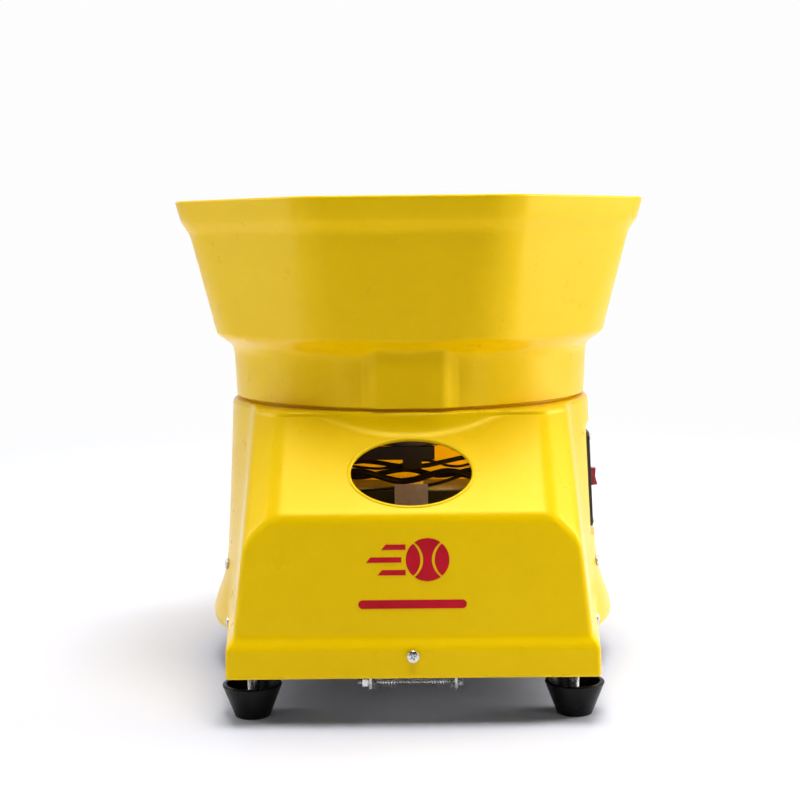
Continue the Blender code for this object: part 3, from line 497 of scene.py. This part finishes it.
def cut(obj, *cutters):
    """Take the cutters out of the object and shade the result."""
    for tool in cutters:
        mod = obj.modifiers.new("cut", "BOOLEAN")
        mod.operation = "DIFFERENCE"
        mod.solver = "EXACT"
        mod.object = tool
        graph = bpy.context.evaluated_depsgraph_get()
        graph.update()
        data = bpy.data.meshes.new_from_object(obj.evaluated_get(graph))
        materials = list(obj.data.materials)
        obj.modifiers.clear()
        obj.data = data
        data.materials.clear()
        for mat in materials:
            data.materials.append(mat)
        for polygon in data.polygons:
            polygon.material_index = 0
        bpy.data.objects.remove(tool, do_unlink=True)
    obj.data.shade_smooth()
    obj.data.set_sharp_from_angle(angle=math.radians(38))


# ================================================================== shapes as functions
# A shape function is negative inside, positive outside, and roughly a distance in mm.
def smax(a, b, k):
    """Larger of the two, blended over a width k."""
    h = np.maximum(k - np.abs(a - b), 0) / k
    return np.maximum(a, b) + h * h * k * 0.25


def smin(a, b, k):
    return -smax(-a, -b, k)


def smooth_table(points, sigma, low, high, step=0.25):
    """Blur an outline of (z, radius) points by sigma mm; gives z and radius arrays."""
    z = np.arange(low - 20, high + 20, step)
    radius = np.interp(z, [p[0] for p in points], [p[1] for p in points])
    n = max(1, int(3 * sigma / step))
    weight = np.exp(-0.5 * (np.arange(-n, n + 1) * step / sigma) ** 2)
    weight /= weight.sum()
    return z, np.convolve(np.pad(radius, n, mode="edge"), weight, mode="valid")


def solve(shape, angles, z, near, far):
    """Radius at which each ray from the axis leaves the shape, found by halving."""
    near = np.full(angles.shape, float(near))
    far = np.full(angles.shape, float(far))
    c, s = np.cos(angles), np.sin(angles)
    for _ in range(34):
        mid = 0.5 * (near + far)
        inside = shape(mid * c, mid * s, z) < 0
        near = np.where(inside, mid, near)
        far = np.where(inside, far, mid)
    return 0.5 * (near + far)


def spread_angles(n, peaks):
    """n angles round the circle, closer together at (angle, width, amount) peaks."""
    base = np.linspace(-math.pi, math.pi, n, endpoint=False)
    weight = np.ones(n)
    for centre, width, amount in peaks:
        weight += amount * np.exp(-0.5 * ((base - centre) / width) ** 2)
    total = np.concatenate([[0], np.cumsum(weight)])
    total = total / total[-1] * 2 * math.pi - math.pi
    return np.interp(base, total, np.linspace(-math.pi, math.pi, n + 1))


def stations(*spans):
    """Heights from (first, last, count) spans."""
    return np.concatenate([np.linspace(*span) for span in spans])


def plane(normal, point):
    """Unit normal and offset of the plane through the point."""
    normal = np.array(normal, float)
    normal /= np.linalg.norm(normal)
    return normal, float(normal @ np.array(point, float))


def solid(planes, x, y, z, k):
    """Inside of all the planes, with edges rounded by k."""
    f = None
    for n, offset in planes:
        v = n[0] * x + n[1] * y + n[2] * z - offset
        f = v if f is None else smax(f, v, k)
    return f


# ================================================================== yellow base cover
# drum outline: (z, radius)
DRUM_Z, DRUM_R = smooth_table([
    (40, 181.8), (42, 183.1), (47, 183.3), (55, 181.4), (67, 177.0), (78, 173.1),
    (90, 170.6), (107, 169.1), (165, 165.7), (232, 162.2), (241, 161.8)],
    sigma=2.2, low=40, high=241)
BACK_PLANE = plane((0, 1, 0), (0, -62, 0))       # rear end of nose and skirt, in the drum
BROW = (0, FRONT_Y, BROW_Z)
OUTLET_NORMAL = (0, -math.cos(LEAN), math.sin(LEAN))
# nose: slope, front and back, then a side and a corner face on each hand
NOSE = [plane(OUTLET_NORMAL, BROW), plane((0, -1, FRONT_SLOPE), BROW), BACK_PLANE]
# skirt: wider block round the foot of the nose, with a sloped top edge
SKIRT = [plane((0, -1, 0.02), (0, -239.6, 40)), plane((0, -1, 1.1), (0, -239.1, 66)),
         BACK_PLANE]
for side, _ in SIDES:
    NOSE += [plane((side, -0.102, 0.118), (side * 132.5, FRONT_Y, 146)),
             plane((side * 1852.2, -1665, 1984.5), (side * 110, FRONT_Y, BROW_Z))]
    SKIRT += [plane((side, -0.089, 0.02), (side * 146.8, -240, 40)),
              plane((side, -0.089, 1.1), (side * 146.3, -239.5, 66))]
SEAT_HALF_HEIGHT = 50.0


def cover_shape(x, y, z):
    drum = (np.hypot(x, y) - np.interp(z, DRUM_Z, DRUM_R)) * 0.97
    # the drum is cut back to a flat panel seat, with a rounded step above and below
    c, s = math.cos(PANEL_TILT), math.sin(PANEL_TILT)
    out = c * (x - PANEL_X) + s * (z - PANEL_Z)
    up = np.abs(-s * (x - PANEL_X) + c * (z - PANEL_Z)) - SEAT_HALF_HEIGHT
    drum = np.where(x > 60, smax(drum, smin(out, -up, 2.2), 1.6), drum)
    f = smin(drum, solid(NOSE, x, y, z, 5.0), 7.0)
    return smin(f, solid(SKIRT, x, y, z, 3.6), 3.5)


def cover_inner(x, y, z):
    return cover_shape(x, y, z) + COVER_WALL


# extra points at the nose corners, the seat edges and the front quarters: angle, width, amount
COVER_ANGLES = spread_angles(720, [
    (-math.pi / 2 - 0.52, 0.10, 2.2), (-math.pi / 2 + 0.52, 0.10, 2.2),
    (-0.29, 0.05, 2.0), (0.29, 0.05, 2.0),
    (-math.pi + 0.75, 0.2, 0.8), (-0.75, 0.2, 0.8)])
COVER_SPAN = (60, 330)                           # radii between which the wall is sought
COVER_OUTER_Z = np.unique(stations(
    (40, 44, 5), (44, 60, 9), (60, 76, 17), (76, 106, 12), (107, 123, 20),
    (125, 205, 46), (206, 224, 24), (225, 236.5, 12)))
# top rim and the step down inside it: (radius, z)
COVER_RIM = [(155.5, 240.9), (153.4, 240.9), (152.6, 240.6),
             (152.1, 239.9), (152.1, 238.4), (152.6, 237.6)]
COVER_INNER_Z = stations((237.3, 237.3, 1), (232, 130, 30), (125, 76, 9), (72, 46, 8),
                         (41.5, 40.0, 2))

OUTLET_Y = -196.6
OUTLET_CENTRE = Vector((0, OUTLET_Y, BROW_Z + (-FRONT_Y + OUTLET_Y) / math.tan(LEAN)))
OUTLET_OUT = Vector(OUTLET_NORMAL)
OUTLET_UP = OUTLET_OUT.cross(X_AXIS).normalized()
HOLE_HALF_WIDTH, HOLE_HALF_HEIGHT = 50.1, 36.5
HOLE_POINTS = 160


def hole_loop(height):
    """Oval loop of the outlet hole, at a height off the sloped face."""
    turns = [2 * math.pi * i / HOLE_POINTS for i in range(HOLE_POINTS)]
    return [OUTLET_CENTRE + X_AXIS * (HOLE_HALF_WIDTH * math.cos(t))
            + OUTLET_UP * (HOLE_HALF_HEIGHT * math.sin(t)) + OUTLET_OUT * height
            for t in turns]


def panel_cutter():
    half_depth, half_width, half_height = 0.012, 0.038, 0.034      # metres
    corners = [(x, y, z) for x in (-half_depth, half_depth)
               for y in (-half_width, half_width) for z in (-half_height, half_height)]
    faces = [(0, 1, 3, 2), (4, 6, 7, 5), (0, 4, 5, 1), (2, 3, 7, 6), (0, 2, 6, 4), (1, 5, 7, 3)]
    obj = cutter("panel_cutter", corners, faces)
    obj.data.transform(Matrix.Translation((PANEL_X * MM, AXIS_Y, PANEL_Z * MM))
                       @ Matrix.Rotation(-PANEL_TILT, 4, "Y"))
    return obj


def build_cover():
    rings = []
    for z in COVER_OUTER_Z:
        radius = solve(cover_shape, COVER_ANGLES, z, *COVER_SPAN)
        low = np.clip((z - 40) / 3.0, 0, 1)      # small rounded bottom corner
        radius -= 1.6 * (1 - np.sqrt(1 - (1 - low) ** 2))
        rings.append(ring(COVER_ANGLES, radius, z))
    for degrees in np.linspace(12, 90, 8):       # rounded upper edge
        t = math.radians(degrees)
        inset = radius - 4.2 * (1 - math.cos(t)) - 0.2 * degrees / 90
        rings.append(ring(COVER_ANGLES, inset, 236.5 + 4.4 * math.sin(t)))
    rings += [ring(COVER_ANGLES, r, z) for r, z in COVER_RIM]
    for z in COVER_INNER_Z:
        radius = solve(cover_inner, COVER_ANGLES, min(z, 236.0), *COVER_SPAN)
        rings.append(ring(COVER_ANGLES, radius, z))
    cover = mesh_obj("base_cover_skin", np.concatenate(rings),
                     ring_faces(len(rings), len(COVER_ANGLES), True), "yellow", body=None)
    hole = [p * MM for height in (-18, 18) for p in hole_loop(height)]
    cut(cover, prism_cutter("outlet_cutter", hole), panel_cutter())
    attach(cover, "root")
    piece(sweep("outlet_lip", hole_loop(-1.0), 1.75, "yellow", sides=16, closed=True))
    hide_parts("base_cover")


build_cover()

# ================================================================== yellow hopper
# bowl outline: (z, radius to the middle of a facet)
HOPPER_Z, HOPPER_R = smooth_table([
    (241, 158), (283, 160.0), (288, 161.4), (291, 163.2), (294, 166.2), (297, 169.0),
    (300, 170.8), (304, 171.8), (386, 190.9), (389.5, 192.4), (393, 194.8), (397, 197.4),
    (402, 199.2), (416, 202.6)], sigma=1.5, low=241, high=416)
HOPPER_ANGLES = spread_angles(576, [         # extra points at the edges of the flat pads
    (centre + offset, 0.035, 4.5)
    for centre in (-math.pi / 2, math.pi / 2) for offset in (-0.195, 0.195)])
HOPPER_SPAN = (100, 260)
HOPPER_OUTER_Z = stations((244.3, 244.3, 1), (246, 280, 14), (282, 307, 32),
                          (310, 383, 26), (384.5, 404, 26), (406, 414.4, 5))
HOPPER_INNER_Z = stations((410, 386, 14), (380, 304, 16), (300, 284, 12), (278, 250, 5),
                          (246.0, 246.0, 1))
# spigot that drops inside the cover: (radius, z), outer wall upwards and inner downwards
SPIGOT_OUTER = [(151.3, 229.4), (151.5, 229.8), (151.5, 243.3)]
SPIGOT_INNER = [(153.6, 243.6), (149.2, 241.4), (148.3, 239.5), (148.3, 229.6),
                (148.6, 229.2)]


def hopper_radius(angle, z, inset=0.0):
    """Radius of the plain eight-sided bowl and its round collar."""
    radius = np.interp(z, HOPPER_Z, HOPPER_R) - inset
    rounding = np.interp(z, [300, 416], [0.12, 0.066])
    # angle from the nearest facet centre
    off = (angle + math.pi / 8) % (math.pi / 4) - math.pi / 8
    octagon = radius / smax(np.cos(off), np.cos(math.pi / 4 - np.abs(off)), rounding)
    t = np.clip((z - 287) / 15.0, 0, 1)
    blend = t * t * (3 - 2 * t)
    return radius * (1 - blend) + octagon * blend


def hopper_shape(x, y, z):
    """Bowl with a flat pad on the front and back of the collar."""
    bowl = np.hypot(x, y) - hopper_radius(np.arctan2(y, x), z)
    out = np.abs(y) - np.interp(z, [243, 290], [160.6, 163.0])
    pad = smax(out, (np.abs(x) - 28.0) * 0.60 + out * 0.80, 2.6)
    pad = smax(smax(pad, z - 292.0, 3.0), np.abs(x) - 38.0, 1.0)
    return smin(bowl, pad, 2.4)


def build_hopper():
    angles = HOPPER_ANGLES
    walls = [ring(angles, solve(hopper_shape, angles, z, *HOPPER_SPAN), z)
             for z in HOPPER_OUTER_Z]
    foot = solve(hopper_shape, angles, HOPPER_OUTER_Z[0], *HOPPER_SPAN) - 0.9
    rings = [ring(angles, r, z) for r, z in SPIGOT_OUTER]
    rings += [ring(angles, foot, 243.5)] + walls
    outer = hopper_radius(angles, 416)
    inner = hopper_radius(angles, 416, HOPPER_WALL)
    for k in range(7):                           # rounded rim
        t = math.pi * k / 6
        radius = (outer + inner) / 2 + (outer - inner) / 2 * math.cos(t)
        rings.append(ring(angles, radius, 414.4 + 1.6 * math.sin(t)))
    rings += [ring(angles, hopper_radius(angles, z, HOPPER_WALL), z) for z in HOPPER_INNER_Z]
    rings += [ring(angles, r, z) for r, z in SPIGOT_INNER]
    hopper = mesh_obj("hopper_skin", np.concatenate(rings),
                      ring_faces(len(rings), len(angles), True), "yellow", "hopper")
    hopper.data.set_sharp_from_angle(angle=math.radians(40))
    piece(hopper, "hopper")


build_hopper()

# ================================================================== feet and studs
FEET = {"front_left": (-130, -200), "front_right": (130, -200),
        "rear_left": (-112, 105), "rear_right": (112, 105)}       # x, y
# rubber cup: (r, z, corner radius)
CUP = fillet([(0, 0, 0), (14.0, 0, 1.4), (24.35, 26.6, 0.9), (20.4, 27.0, 0.8),
              (15.6, 9.2, 2.2), (0, 8.1, 0)], seg=6)


def stud_outline():
    """Flange, threaded length and plain top: (r, z)."""
    outline = [(0, 8.4), (9.4, 8.4), (9.9, 8.9), (9.9, 10.9), (9.4, 11.4), (4.1, 11.4)]
    z = 11.8
    while z < 37.0:                              # one thread each 0.9 mm
        outline += [(3.55, z), (4.0, z + 0.45)]
        z += 0.9
    return outline + [(3.7, 37.5), (3.7, 54.8), (3.2, 55.9), (0, 55.9)]


def hex_nut(name, x, y, bottom, top):
    """Six-sided nut with rounded corners and eased ends."""
    corner, n = 7.4, 72
    flat = corner * 0.866
    verts = []
    for z, scale in ((bottom, 0.93), (bottom + 0.6, 1.0), (top - 0.6, 1.0), (top, 0.93)):
        for i in range(n):
            a = 2 * math.pi * i / n
            off = (a + math.pi / 6) % (math.pi / 3) - math.pi / 6
            radius = min(flat / math.cos(off), corner * 0.985) * scale
            verts.append((x + radius * math.cos(a), y + radius * math.sin(a), z))
    piece(mesh_obj(name, verts, ring_faces(4, n) + caps(4, n), "zinc", angle=35))


for key, (x, y) in FEET.items():
    place = Matrix.Translation((x, y, 0))
    piece(lathe("foot_cup_" + key, CUP, "rubber", 96, place, angle=50),
          "foot_" + key)
    piece(lathe("foot_rod_" + key, stud_outline(), "zinc", 40, place, angle=40),
          "foot_stud_" + key)
    hex_nut("foot_nut_low_" + key, x, y, 37.7, 43.6)
    hex_nut("foot_nut_top_" + key, x, y, 47.0, 51.9)

# ================================================================== cross-recess screws
# (place, direction) on the cover surface; the paired ones are mirrored in x
SCREWS = {"front_screw": ((0, -239.9, 58), (0, -1, 0))}
for stem, (x, y, z), (dx, dy, dz) in (
        ("side_screw_lower", (159.3, -100, 52), (1, -0.089, 0.02)),
        ("side_screw_upper", (167.1, -35.1, 90), (0.979, -0.206, 0.09)),
        ("rear_screw", (90.7, 157.1, 56), (0.5, 0.866, 0.31))):
    for side, hand in SIDES:
        SCREWS[f"{stem}_{hand}"] = ((side * x, y, z), (side * dx, dy, dz))
# y, and height up the panel, from the middle of the panel
PANEL_SCREWS = {"panel_screw_1": (-37, 38), "panel_screw_2": (37, 38),
                "panel_screw_3": (37, -38), "panel_screw_4": (-37, -38)}
PANEL_OUT = Vector((math.cos(PANEL_TILT), 0, math.sin(PANEL_TILT)))
PANEL_UP = Vector((-math.sin(PANEL_TILT), 0, math.cos(PANEL_TILT)))


def facing(direction):
    """Turn that points z along the direction."""
    axis = Vector(direction).normalized()
    a = X_AXIS if abs(axis.x) < 0.8 else Vector((0, 1, 0))
    u = (a - axis * a.dot(axis)).normalized()
    return Matrix((u, axis.cross(u), axis)).transposed()


def screw(node, centre, direction, r, height, length, shank, turn):
    """Domed head of radius r on a shank, with its cross turned by `turn` degrees."""
    outline = [(0, -length), (shank, -length), (shank, 0.0), (r * 0.985, 0.0),
               (r, 0.12 * r), (r * 0.985, 0.2 * r)]
    outline += [(r * math.cos(t), 0.2 * r + (height - 0.2 * r) * math.sin(t))
                for t in np.linspace(0.25, math.pi / 2 - 0.06, 9)] + [(0, height)]
    place = Matrix.Translation(Vector(centre)) @ facing(direction).to_4x4()
    head = lathe(node + "_head", outline, "zinc", 48, place, angle=38)
    # the recess tapers from just above the head down to its floor
    a, w = r * 0.60, r * 0.125                   # arm length and half width
    cross = [(-a, -w), (-w, -w), (-w, -a), (w, -a), (w, -w), (a, -w),
             (a, w), (w, w), (w, a), (-w, a), (-w, w), (-a, w)]
    c, s = math.cos(math.radians(turn)), math.sin(math.radians(turn))
    points = [place @ Vector(((x * c - y * s) * scale, (x * s + y * c) * scale, z))
              for scale, z in ((0.62, height - 0.45 * r), (1.0, height + 0.6))
              for x, y in cross]
    cut(head, prism_cutter("cross_cutter", np.array(points, float) * MM))
    piece(head, node)


for i, (node, (centre, direction)) in enumerate(SCREWS.items()):
    screw(node, Vector(centre) + Vector(direction).normalized() * 0.75, direction,
          r=5.0, height=2.55, length=12.8, shank=1.95, turn=25 + 17 * i)
for node, (y, up) in PANEL_SCREWS.items():
    centre = (Vector((PANEL_X, 0, PANEL_Z)) + PANEL_OUT * 3.3 + Vector((0, y, 0))
              + PANEL_UP * up)
    screw(node, centre, PANEL_OUT, r=2.75, height=1.45, length=2.6, shank=1.35, turn=15 + y)

# ================================================================== wheels and springs
HEAD_TILT = math.radians(35)
HEAD_FRAME = Matrix.Translation(Vector((0, -106.5, 134))) @ Matrix((
    X_AXIS, Vector((0, math.cos(HEAD_TILT), -math.sin(HEAD_TILT))),
    Vector((0, math.sin(HEAD_TILT), math.cos(HEAD_TILT))))).transposed().to_4x4()
WHEEL_X = 72
# lower half of the tread, with two grooves in the whole: (r, z, corner radius)
HALF_TREAD = [(33.8, -13.0, 0.4), (35.2, -14.9, 1.2), (43.2, -14.9, 1.8), (44.55, -11.5, 1.5),
              (44.15, -6.3, 0.5), (43.4, -5.6, 0.4), (43.4, -4.4, 0.4), (44.15, -3.7, 0.5)]
TREAD = fillet(HALF_TREAD + [(r, -z, radius) for r, z, radius in reversed(HALF_TREAD)], seg=4)
COIL_TURNS, COIL_STEPS, COIL_RADIUS = 5.5, 26, 4.1
COIL_START_X, COIL_LENGTH = 14, 12.5
COIL_Y, COIL_Z = -200, 27


def coil_path(side):
    path = []
    for i in range(int(COIL_TURNS * COIL_STEPS) + 1):
        a = 2 * math.pi * i / COIL_STEPS
        x = COIL_START_X + COIL_LENGTH * i / (COIL_TURNS * COIL_STEPS)
        path.append((side * x, COIL_Y + COIL_RADIUS * math.cos(a),
                     COIL_Z + COIL_RADIUS * math.sin(a)))
    return path


for side, hand in SIDES:
    place = HEAD_FRAME @ Matrix.Translation(Vector((side * WHEEL_X, 0, 0)))
    piece(lathe("wheel_tread_" + hand, TREAD, "tread", 120, place, 40, "wheel_" + hand),
          "wheel_tyre_" + hand)
    piece(sweep("stand_coil_" + hand, coil_path(side), 0.75, "zinc", sides=12),
          "stand_spring_" + hand)

# ================================================================== ball emblem on the front
BALL_X, BALL_Z, BALL_R = 12.0, 133.0, 17.0
SEAM_CENTRE = 21.5                               # seam arc centres, either side of the ball's
HALF_GAP = 1.1                                   # half the gap left along a seam
STRIPE_HALF, BAR_RADIUS = 2.1, 3.4
BAR_X, BAR_Z = 39.0, 98.0


def relief(name, points):
    """Thin raised shape on the front face from (x, z) points."""
    n = len(points)
    verts = [(x, FRONT_SLOPE * z - 236.68 - out, z) for out in (0.35, -0.4) for x, z in points]
    faces = [tuple(range(n)), tuple(range(n, 2 * n))[::-1]] + ring_faces(2, n)
    piece(mesh_obj(name, verts, faces, "emblem", angle=30))


def ball_edge(t):
    """Half width of the ball at height t from its middle."""
    return math.sqrt(max(BALL_R * BALL_R - t * t, 0.0))


def seam(t):
    return SEAM_CENTRE - ball_edge(t)


def build_emblem():
    heights = np.linspace(-BALL_R * 0.9999, BALL_R * 0.9999, 61)
    middle = [(min(ball_edge(t), seam(t) - HALF_GAP), t) for t in heights]
    relief("emblem_ball_middle", [(BALL_X + w, BALL_Z + t) for w, t in middle]
           + [(BALL_X - w, BALL_Z + t) for w, t in reversed(middle)])
    outer = [(seam(t) + HALF_GAP, ball_edge(t), t) for t in np.linspace(-12.4, 12.4, 41)
             if ball_edge(t) - seam(t) - HALF_GAP > 0.15]
    for side, hand in SIDES:
        relief("emblem_ball_" + hand, [(BALL_X + side * a, BALL_Z + t) for a, _, t in outer]
               + [(BALL_X + side * b, BALL_Z + t) for _, b, t in reversed(outer)])
    # three stripes end short of the ball: left end x, middle z
    for i, (left, z) in enumerate(((-24, 143.0), (-36, 133.0), (-27, 123.0))):
        right = BALL_X - ball_edge(z - BALL_Z) - 3.4
        low, high = z - STRIPE_HALF, z + STRIPE_HALF
        relief("emblem_stripe_%d" % (i + 1),
               [(left, low), (right, low), (right, high), (left + 3.4, high)])
    bar = []
    for x, start in ((BAR_X, -90), (-BAR_X, 90)):
        for degrees in range(0, 181, 12):
            t = math.radians(start + degrees)
            bar.append((x + BAR_RADIUS * math.cos(t), BAR_Z + BAR_RADIUS * math.sin(t)))
    relief("emblem_bar", bar)


build_emblem()

# ================================================================== wiring behind the outlet
# radius, then the (x, y, z) points passed through
CABLES = {
    "cable_switch": (2.6, [
        (143, -20, 168), (118, -12, 176), (70, 4, 171), (28, 8, 163),
        (-6, 14, 168), (-48, 8, 162), (-86, 6, 167), (-103, 20, 158)]),
    "cable_inlet": (3.1, [
        (141, 18, 160), (112, 6, 168), (72, -4, 160), (34, -2, 168),
        (-8, 6, 158), (-54, -4, 169), (-92, 6, 150), (-103, 24, 138)]),
    "cable_feed": (2.2, [
        (0, 96, 186), (22, 104, 184), (52, 66, 181), (78, 22, 176), (52, 6, 180),
        (2, 2, 172), (-50, 12, 176), (-94, 20, 160), (-104, 44, 150)]),
    "cable_panel_earth": (1.6, [
        (142, -6, 158), (104, 0, 158), (62, 2, 166), (20, -2, 156),
        (-20, 16, 150), (-62, 40, 144)]),
    "cable_lamp": (1.3, [
        (150, -4.5, 165), (132, 4, 172), (92, 10, 182), (44, 16, 170),
        (12, 16, 176), (-30, 20, 168), (-72, 22, 172), (-103, 60, 158)]),
}
for name, (radius, points) in CABLES.items():
    piece(sweep(name, spline(points, per=14), radius, "cable", sides=14))


# ================================================================== finishes of the CAD nodes
def corners(stem):
    return [f"{stem}_{key}" for key in FEET]


def pair(stem):
    return [f"{stem}_{hand}" for _, hand in SIDES]


FINISH = {
    "black": ["control_panel", "switch_frame", "power_inlet", "rotor_cap"],
    "battery": ["battery"],
    "grey": ["feeder_deck", "feed_rotor", "feed_gearmotor", "drop_collar", "yaw_gearmotor"],
    "zinc": [*corners("foot_stud"), *SCREWS, *PANEL_SCREWS, "stand_bracket",
             "stand_pivot_bolt", "stand_nut", "front_stand", "feed_shaft", "yaw_pivot_bolt",
             *pair("wheel_nut"), "battery_strap", *pair("stand_spring")],
    "painted": ["base_plate", "sensor_bar", "throwing_head_frame"],
    "tread": ["ball_guide", "yaw_pinion", *pair("wheel_tyre")],
    "alu": [*corners("deck_post"), *pair("wheel_motor"), *pair("wheel_hub")],
    "pcb": ["control_board"],
    "red": ["rocker_switch"],
    "green": ["indicator_lens"],
    "rubber": corners("foot"),
}
for finish, names in FINISH.items():
    for name in names:
        obj = NODES[name]
        for slot in obj.material_slots:
            slot.material = MATERIALS[finish]
        if not obj.material_slots:
            obj.data.materials.append(MATERIALS[finish])

# ================================================================== stage (metres from here)
BACKDROP = {0: (0.985, 0.985, 0.99), 1: 1.0}     # colour and strength seen by the camera


def floor_material():
    """Pale floor that fades to the backdrop colour, so that no horizon shows."""
    s = Shader("studio_floor")
    rgb = (0.80, 0.81, 0.88)
    s.finish(Base_Color=s.ramp(s.noise(scale=1.4, detail=4, rough=0.6),
                               low=shade(rgb, 0.985), high=rgb),
             Roughness=0.6, Specular_IOR_Level=0.25,
             Normal=s.bump(s.noise(scale=300, detail=2), strength=0.03, distance=0.0002))
    position = s.node("ShaderNodeNewGeometry").outputs["Position"]
    distance = s.node("ShaderNodeVectorMath", {0: position}, operation="LENGTH")
    fade = s.node("ShaderNodeMapRange", {
        "From Min": 0.75, "From Max": 2.0, "Value": distance.outputs["Value"]},
        interpolation_type="SMOOTHSTEP")
    s.camera_only(s.node("ShaderNodeEmission", BACKDROP).outputs[0], s.bsdf.outputs[0],
                  s.output.inputs[0], gate=fade.outputs["Result"])
    return s.material


def build_floor():
    """Level floor that curves up behind the machine."""
    material = floor_material()
    bend_y, bend_radius, half_width = 1.6, 1.4, 7
    profile = [(-6.0, 0.0), (bend_y, 0.0)]       # y, z
    profile += [(bend_y + bend_radius * math.sin(t), bend_radius * (1 - math.cos(t)))
                for t in np.linspace(0.08, math.pi / 2, 22)]
    profile.append((bend_y + bend_radius, 6.0))
    verts = [(x, y, z) for y, z in profile for x in (-half_width, half_width)]
    faces = [(2 * i, 2 * i + 1, 2 * i + 3, 2 * i + 2) for i in range(len(profile) - 1)]
    data = bpy.data.meshes.new("floor")
    data.from_pydata(verts, [], faces)
    data.shade_smooth()
    floor = link("studio_sweep", data)
    data.materials.append(material)


def build_world():
    """Dim light from all round, with a near-white backdrop for the camera."""
    world = bpy.data.worlds.new("studio")
    bpy.context.scene.world = world
    world.use_nodes = True
    graph = Graph(world.node_tree)
    lit = world.node_tree.nodes["Background"]
    graph.feed(lit.inputs[0], (0.97, 0.98, 1.0))
    graph.feed(lit.inputs[1], 0.04)
    seen = graph.node("ShaderNodeBackground", BACKDROP)
    graph.camera_only(seen.outputs[0], lit.outputs[0],
                      world.node_tree.nodes["World Output"].inputs[0])


build_floor()
build_world()


# ================================================================== lights and camera
def area(name, place, target, energy, size, size_y=None, color=(1, 1, 1)):
    light = bpy.data.lights.new(name, "AREA")
    light.energy = energy
    light.size = size
    light.color = color
    if size_y:
        light.shape = "RECTANGLE"
        light.size_y = size_y
    obj = link(name, light)
    obj.location = place
    aim = Vector(target) - Vector(place)
    obj.rotation_euler = aim.to_track_quat("-Z", "Y").to_euler()


def glow(name, place, energy, radius=0.02):
    """Small warm light inside the casing, placed in mm from the hopper axis."""
    light = bpy.data.lights.new(name, "POINT")
    light.energy = energy
    light.shadow_soft_size = radius
    light.color = (1.0, 0.60, 0.16)
    x, y, z = place
    link(name, light).location = (x * MM, y * MM + AXIS_Y, z * MM)


area("soft_right", (1.75, 0.1, 0.8), (0, 0, 0.22), energy=25, size=0.8, size_y=1.5,
     color=(1, 0.99, 0.97))
area("soft_left", (-1.75, 0.1, 0.8), (0, 0, 0.22), energy=11, size=0.6, size_y=1.5,
     color=(0.98, 0.99, 1))
area("strip_right", (0.56, -0.64, 0.25), (0, -0.05, 0.28), energy=0.50, size=0.06, size_y=0.44)
area("strip_left", (-0.56, -0.64, 0.25), (0, -0.05, 0.28), energy=0.38, size=0.06, size_y=0.44)
area("soft_top", (0.15, -0.55, 2.3), (0, -0.05, 0.1), energy=44, size=1.1)
area("backdrop_wash", (0, 1.0, 2.6), (0, 2.8, 0.8), energy=66, size=3.2, size_y=1.0)
glow("wall_glow_right", (100, 30, 175), energy=0.16)
glow("wall_glow_left", (-85, 40, 185), energy=0.13)
glow("wall_glow_rear", (30, 75, 165), energy=0.13)
glow("wall_glow_front", (60, -150, 180), energy=0.05, radius=0.012)


def build_camera():
    data = bpy.data.cameras.new("camera")
    data.sensor_width = 36.0
    data.lens = 69.9795
    camera = link("camera", data)
    pitch_down, yaw, roll = (math.radians(a) for a in (5.810, 0.350, 0.620))
    camera.matrix_world = (Matrix.Translation((-0.00083, AXIS_Y - 1.42523, 0.37950))
                           @ Matrix.Rotation(yaw, 4, "Z")
                           @ Matrix.Rotation(math.pi / 2 - pitch_down, 4, "X")
                           @ Matrix.Rotation(-roll, 4, "Z"))
    bpy.context.scene.camera = camera


build_camera()
view = bpy.context.scene.view_settings
view.view_transform = "Standard"
view.look = "None"
view.exposure = 0.0
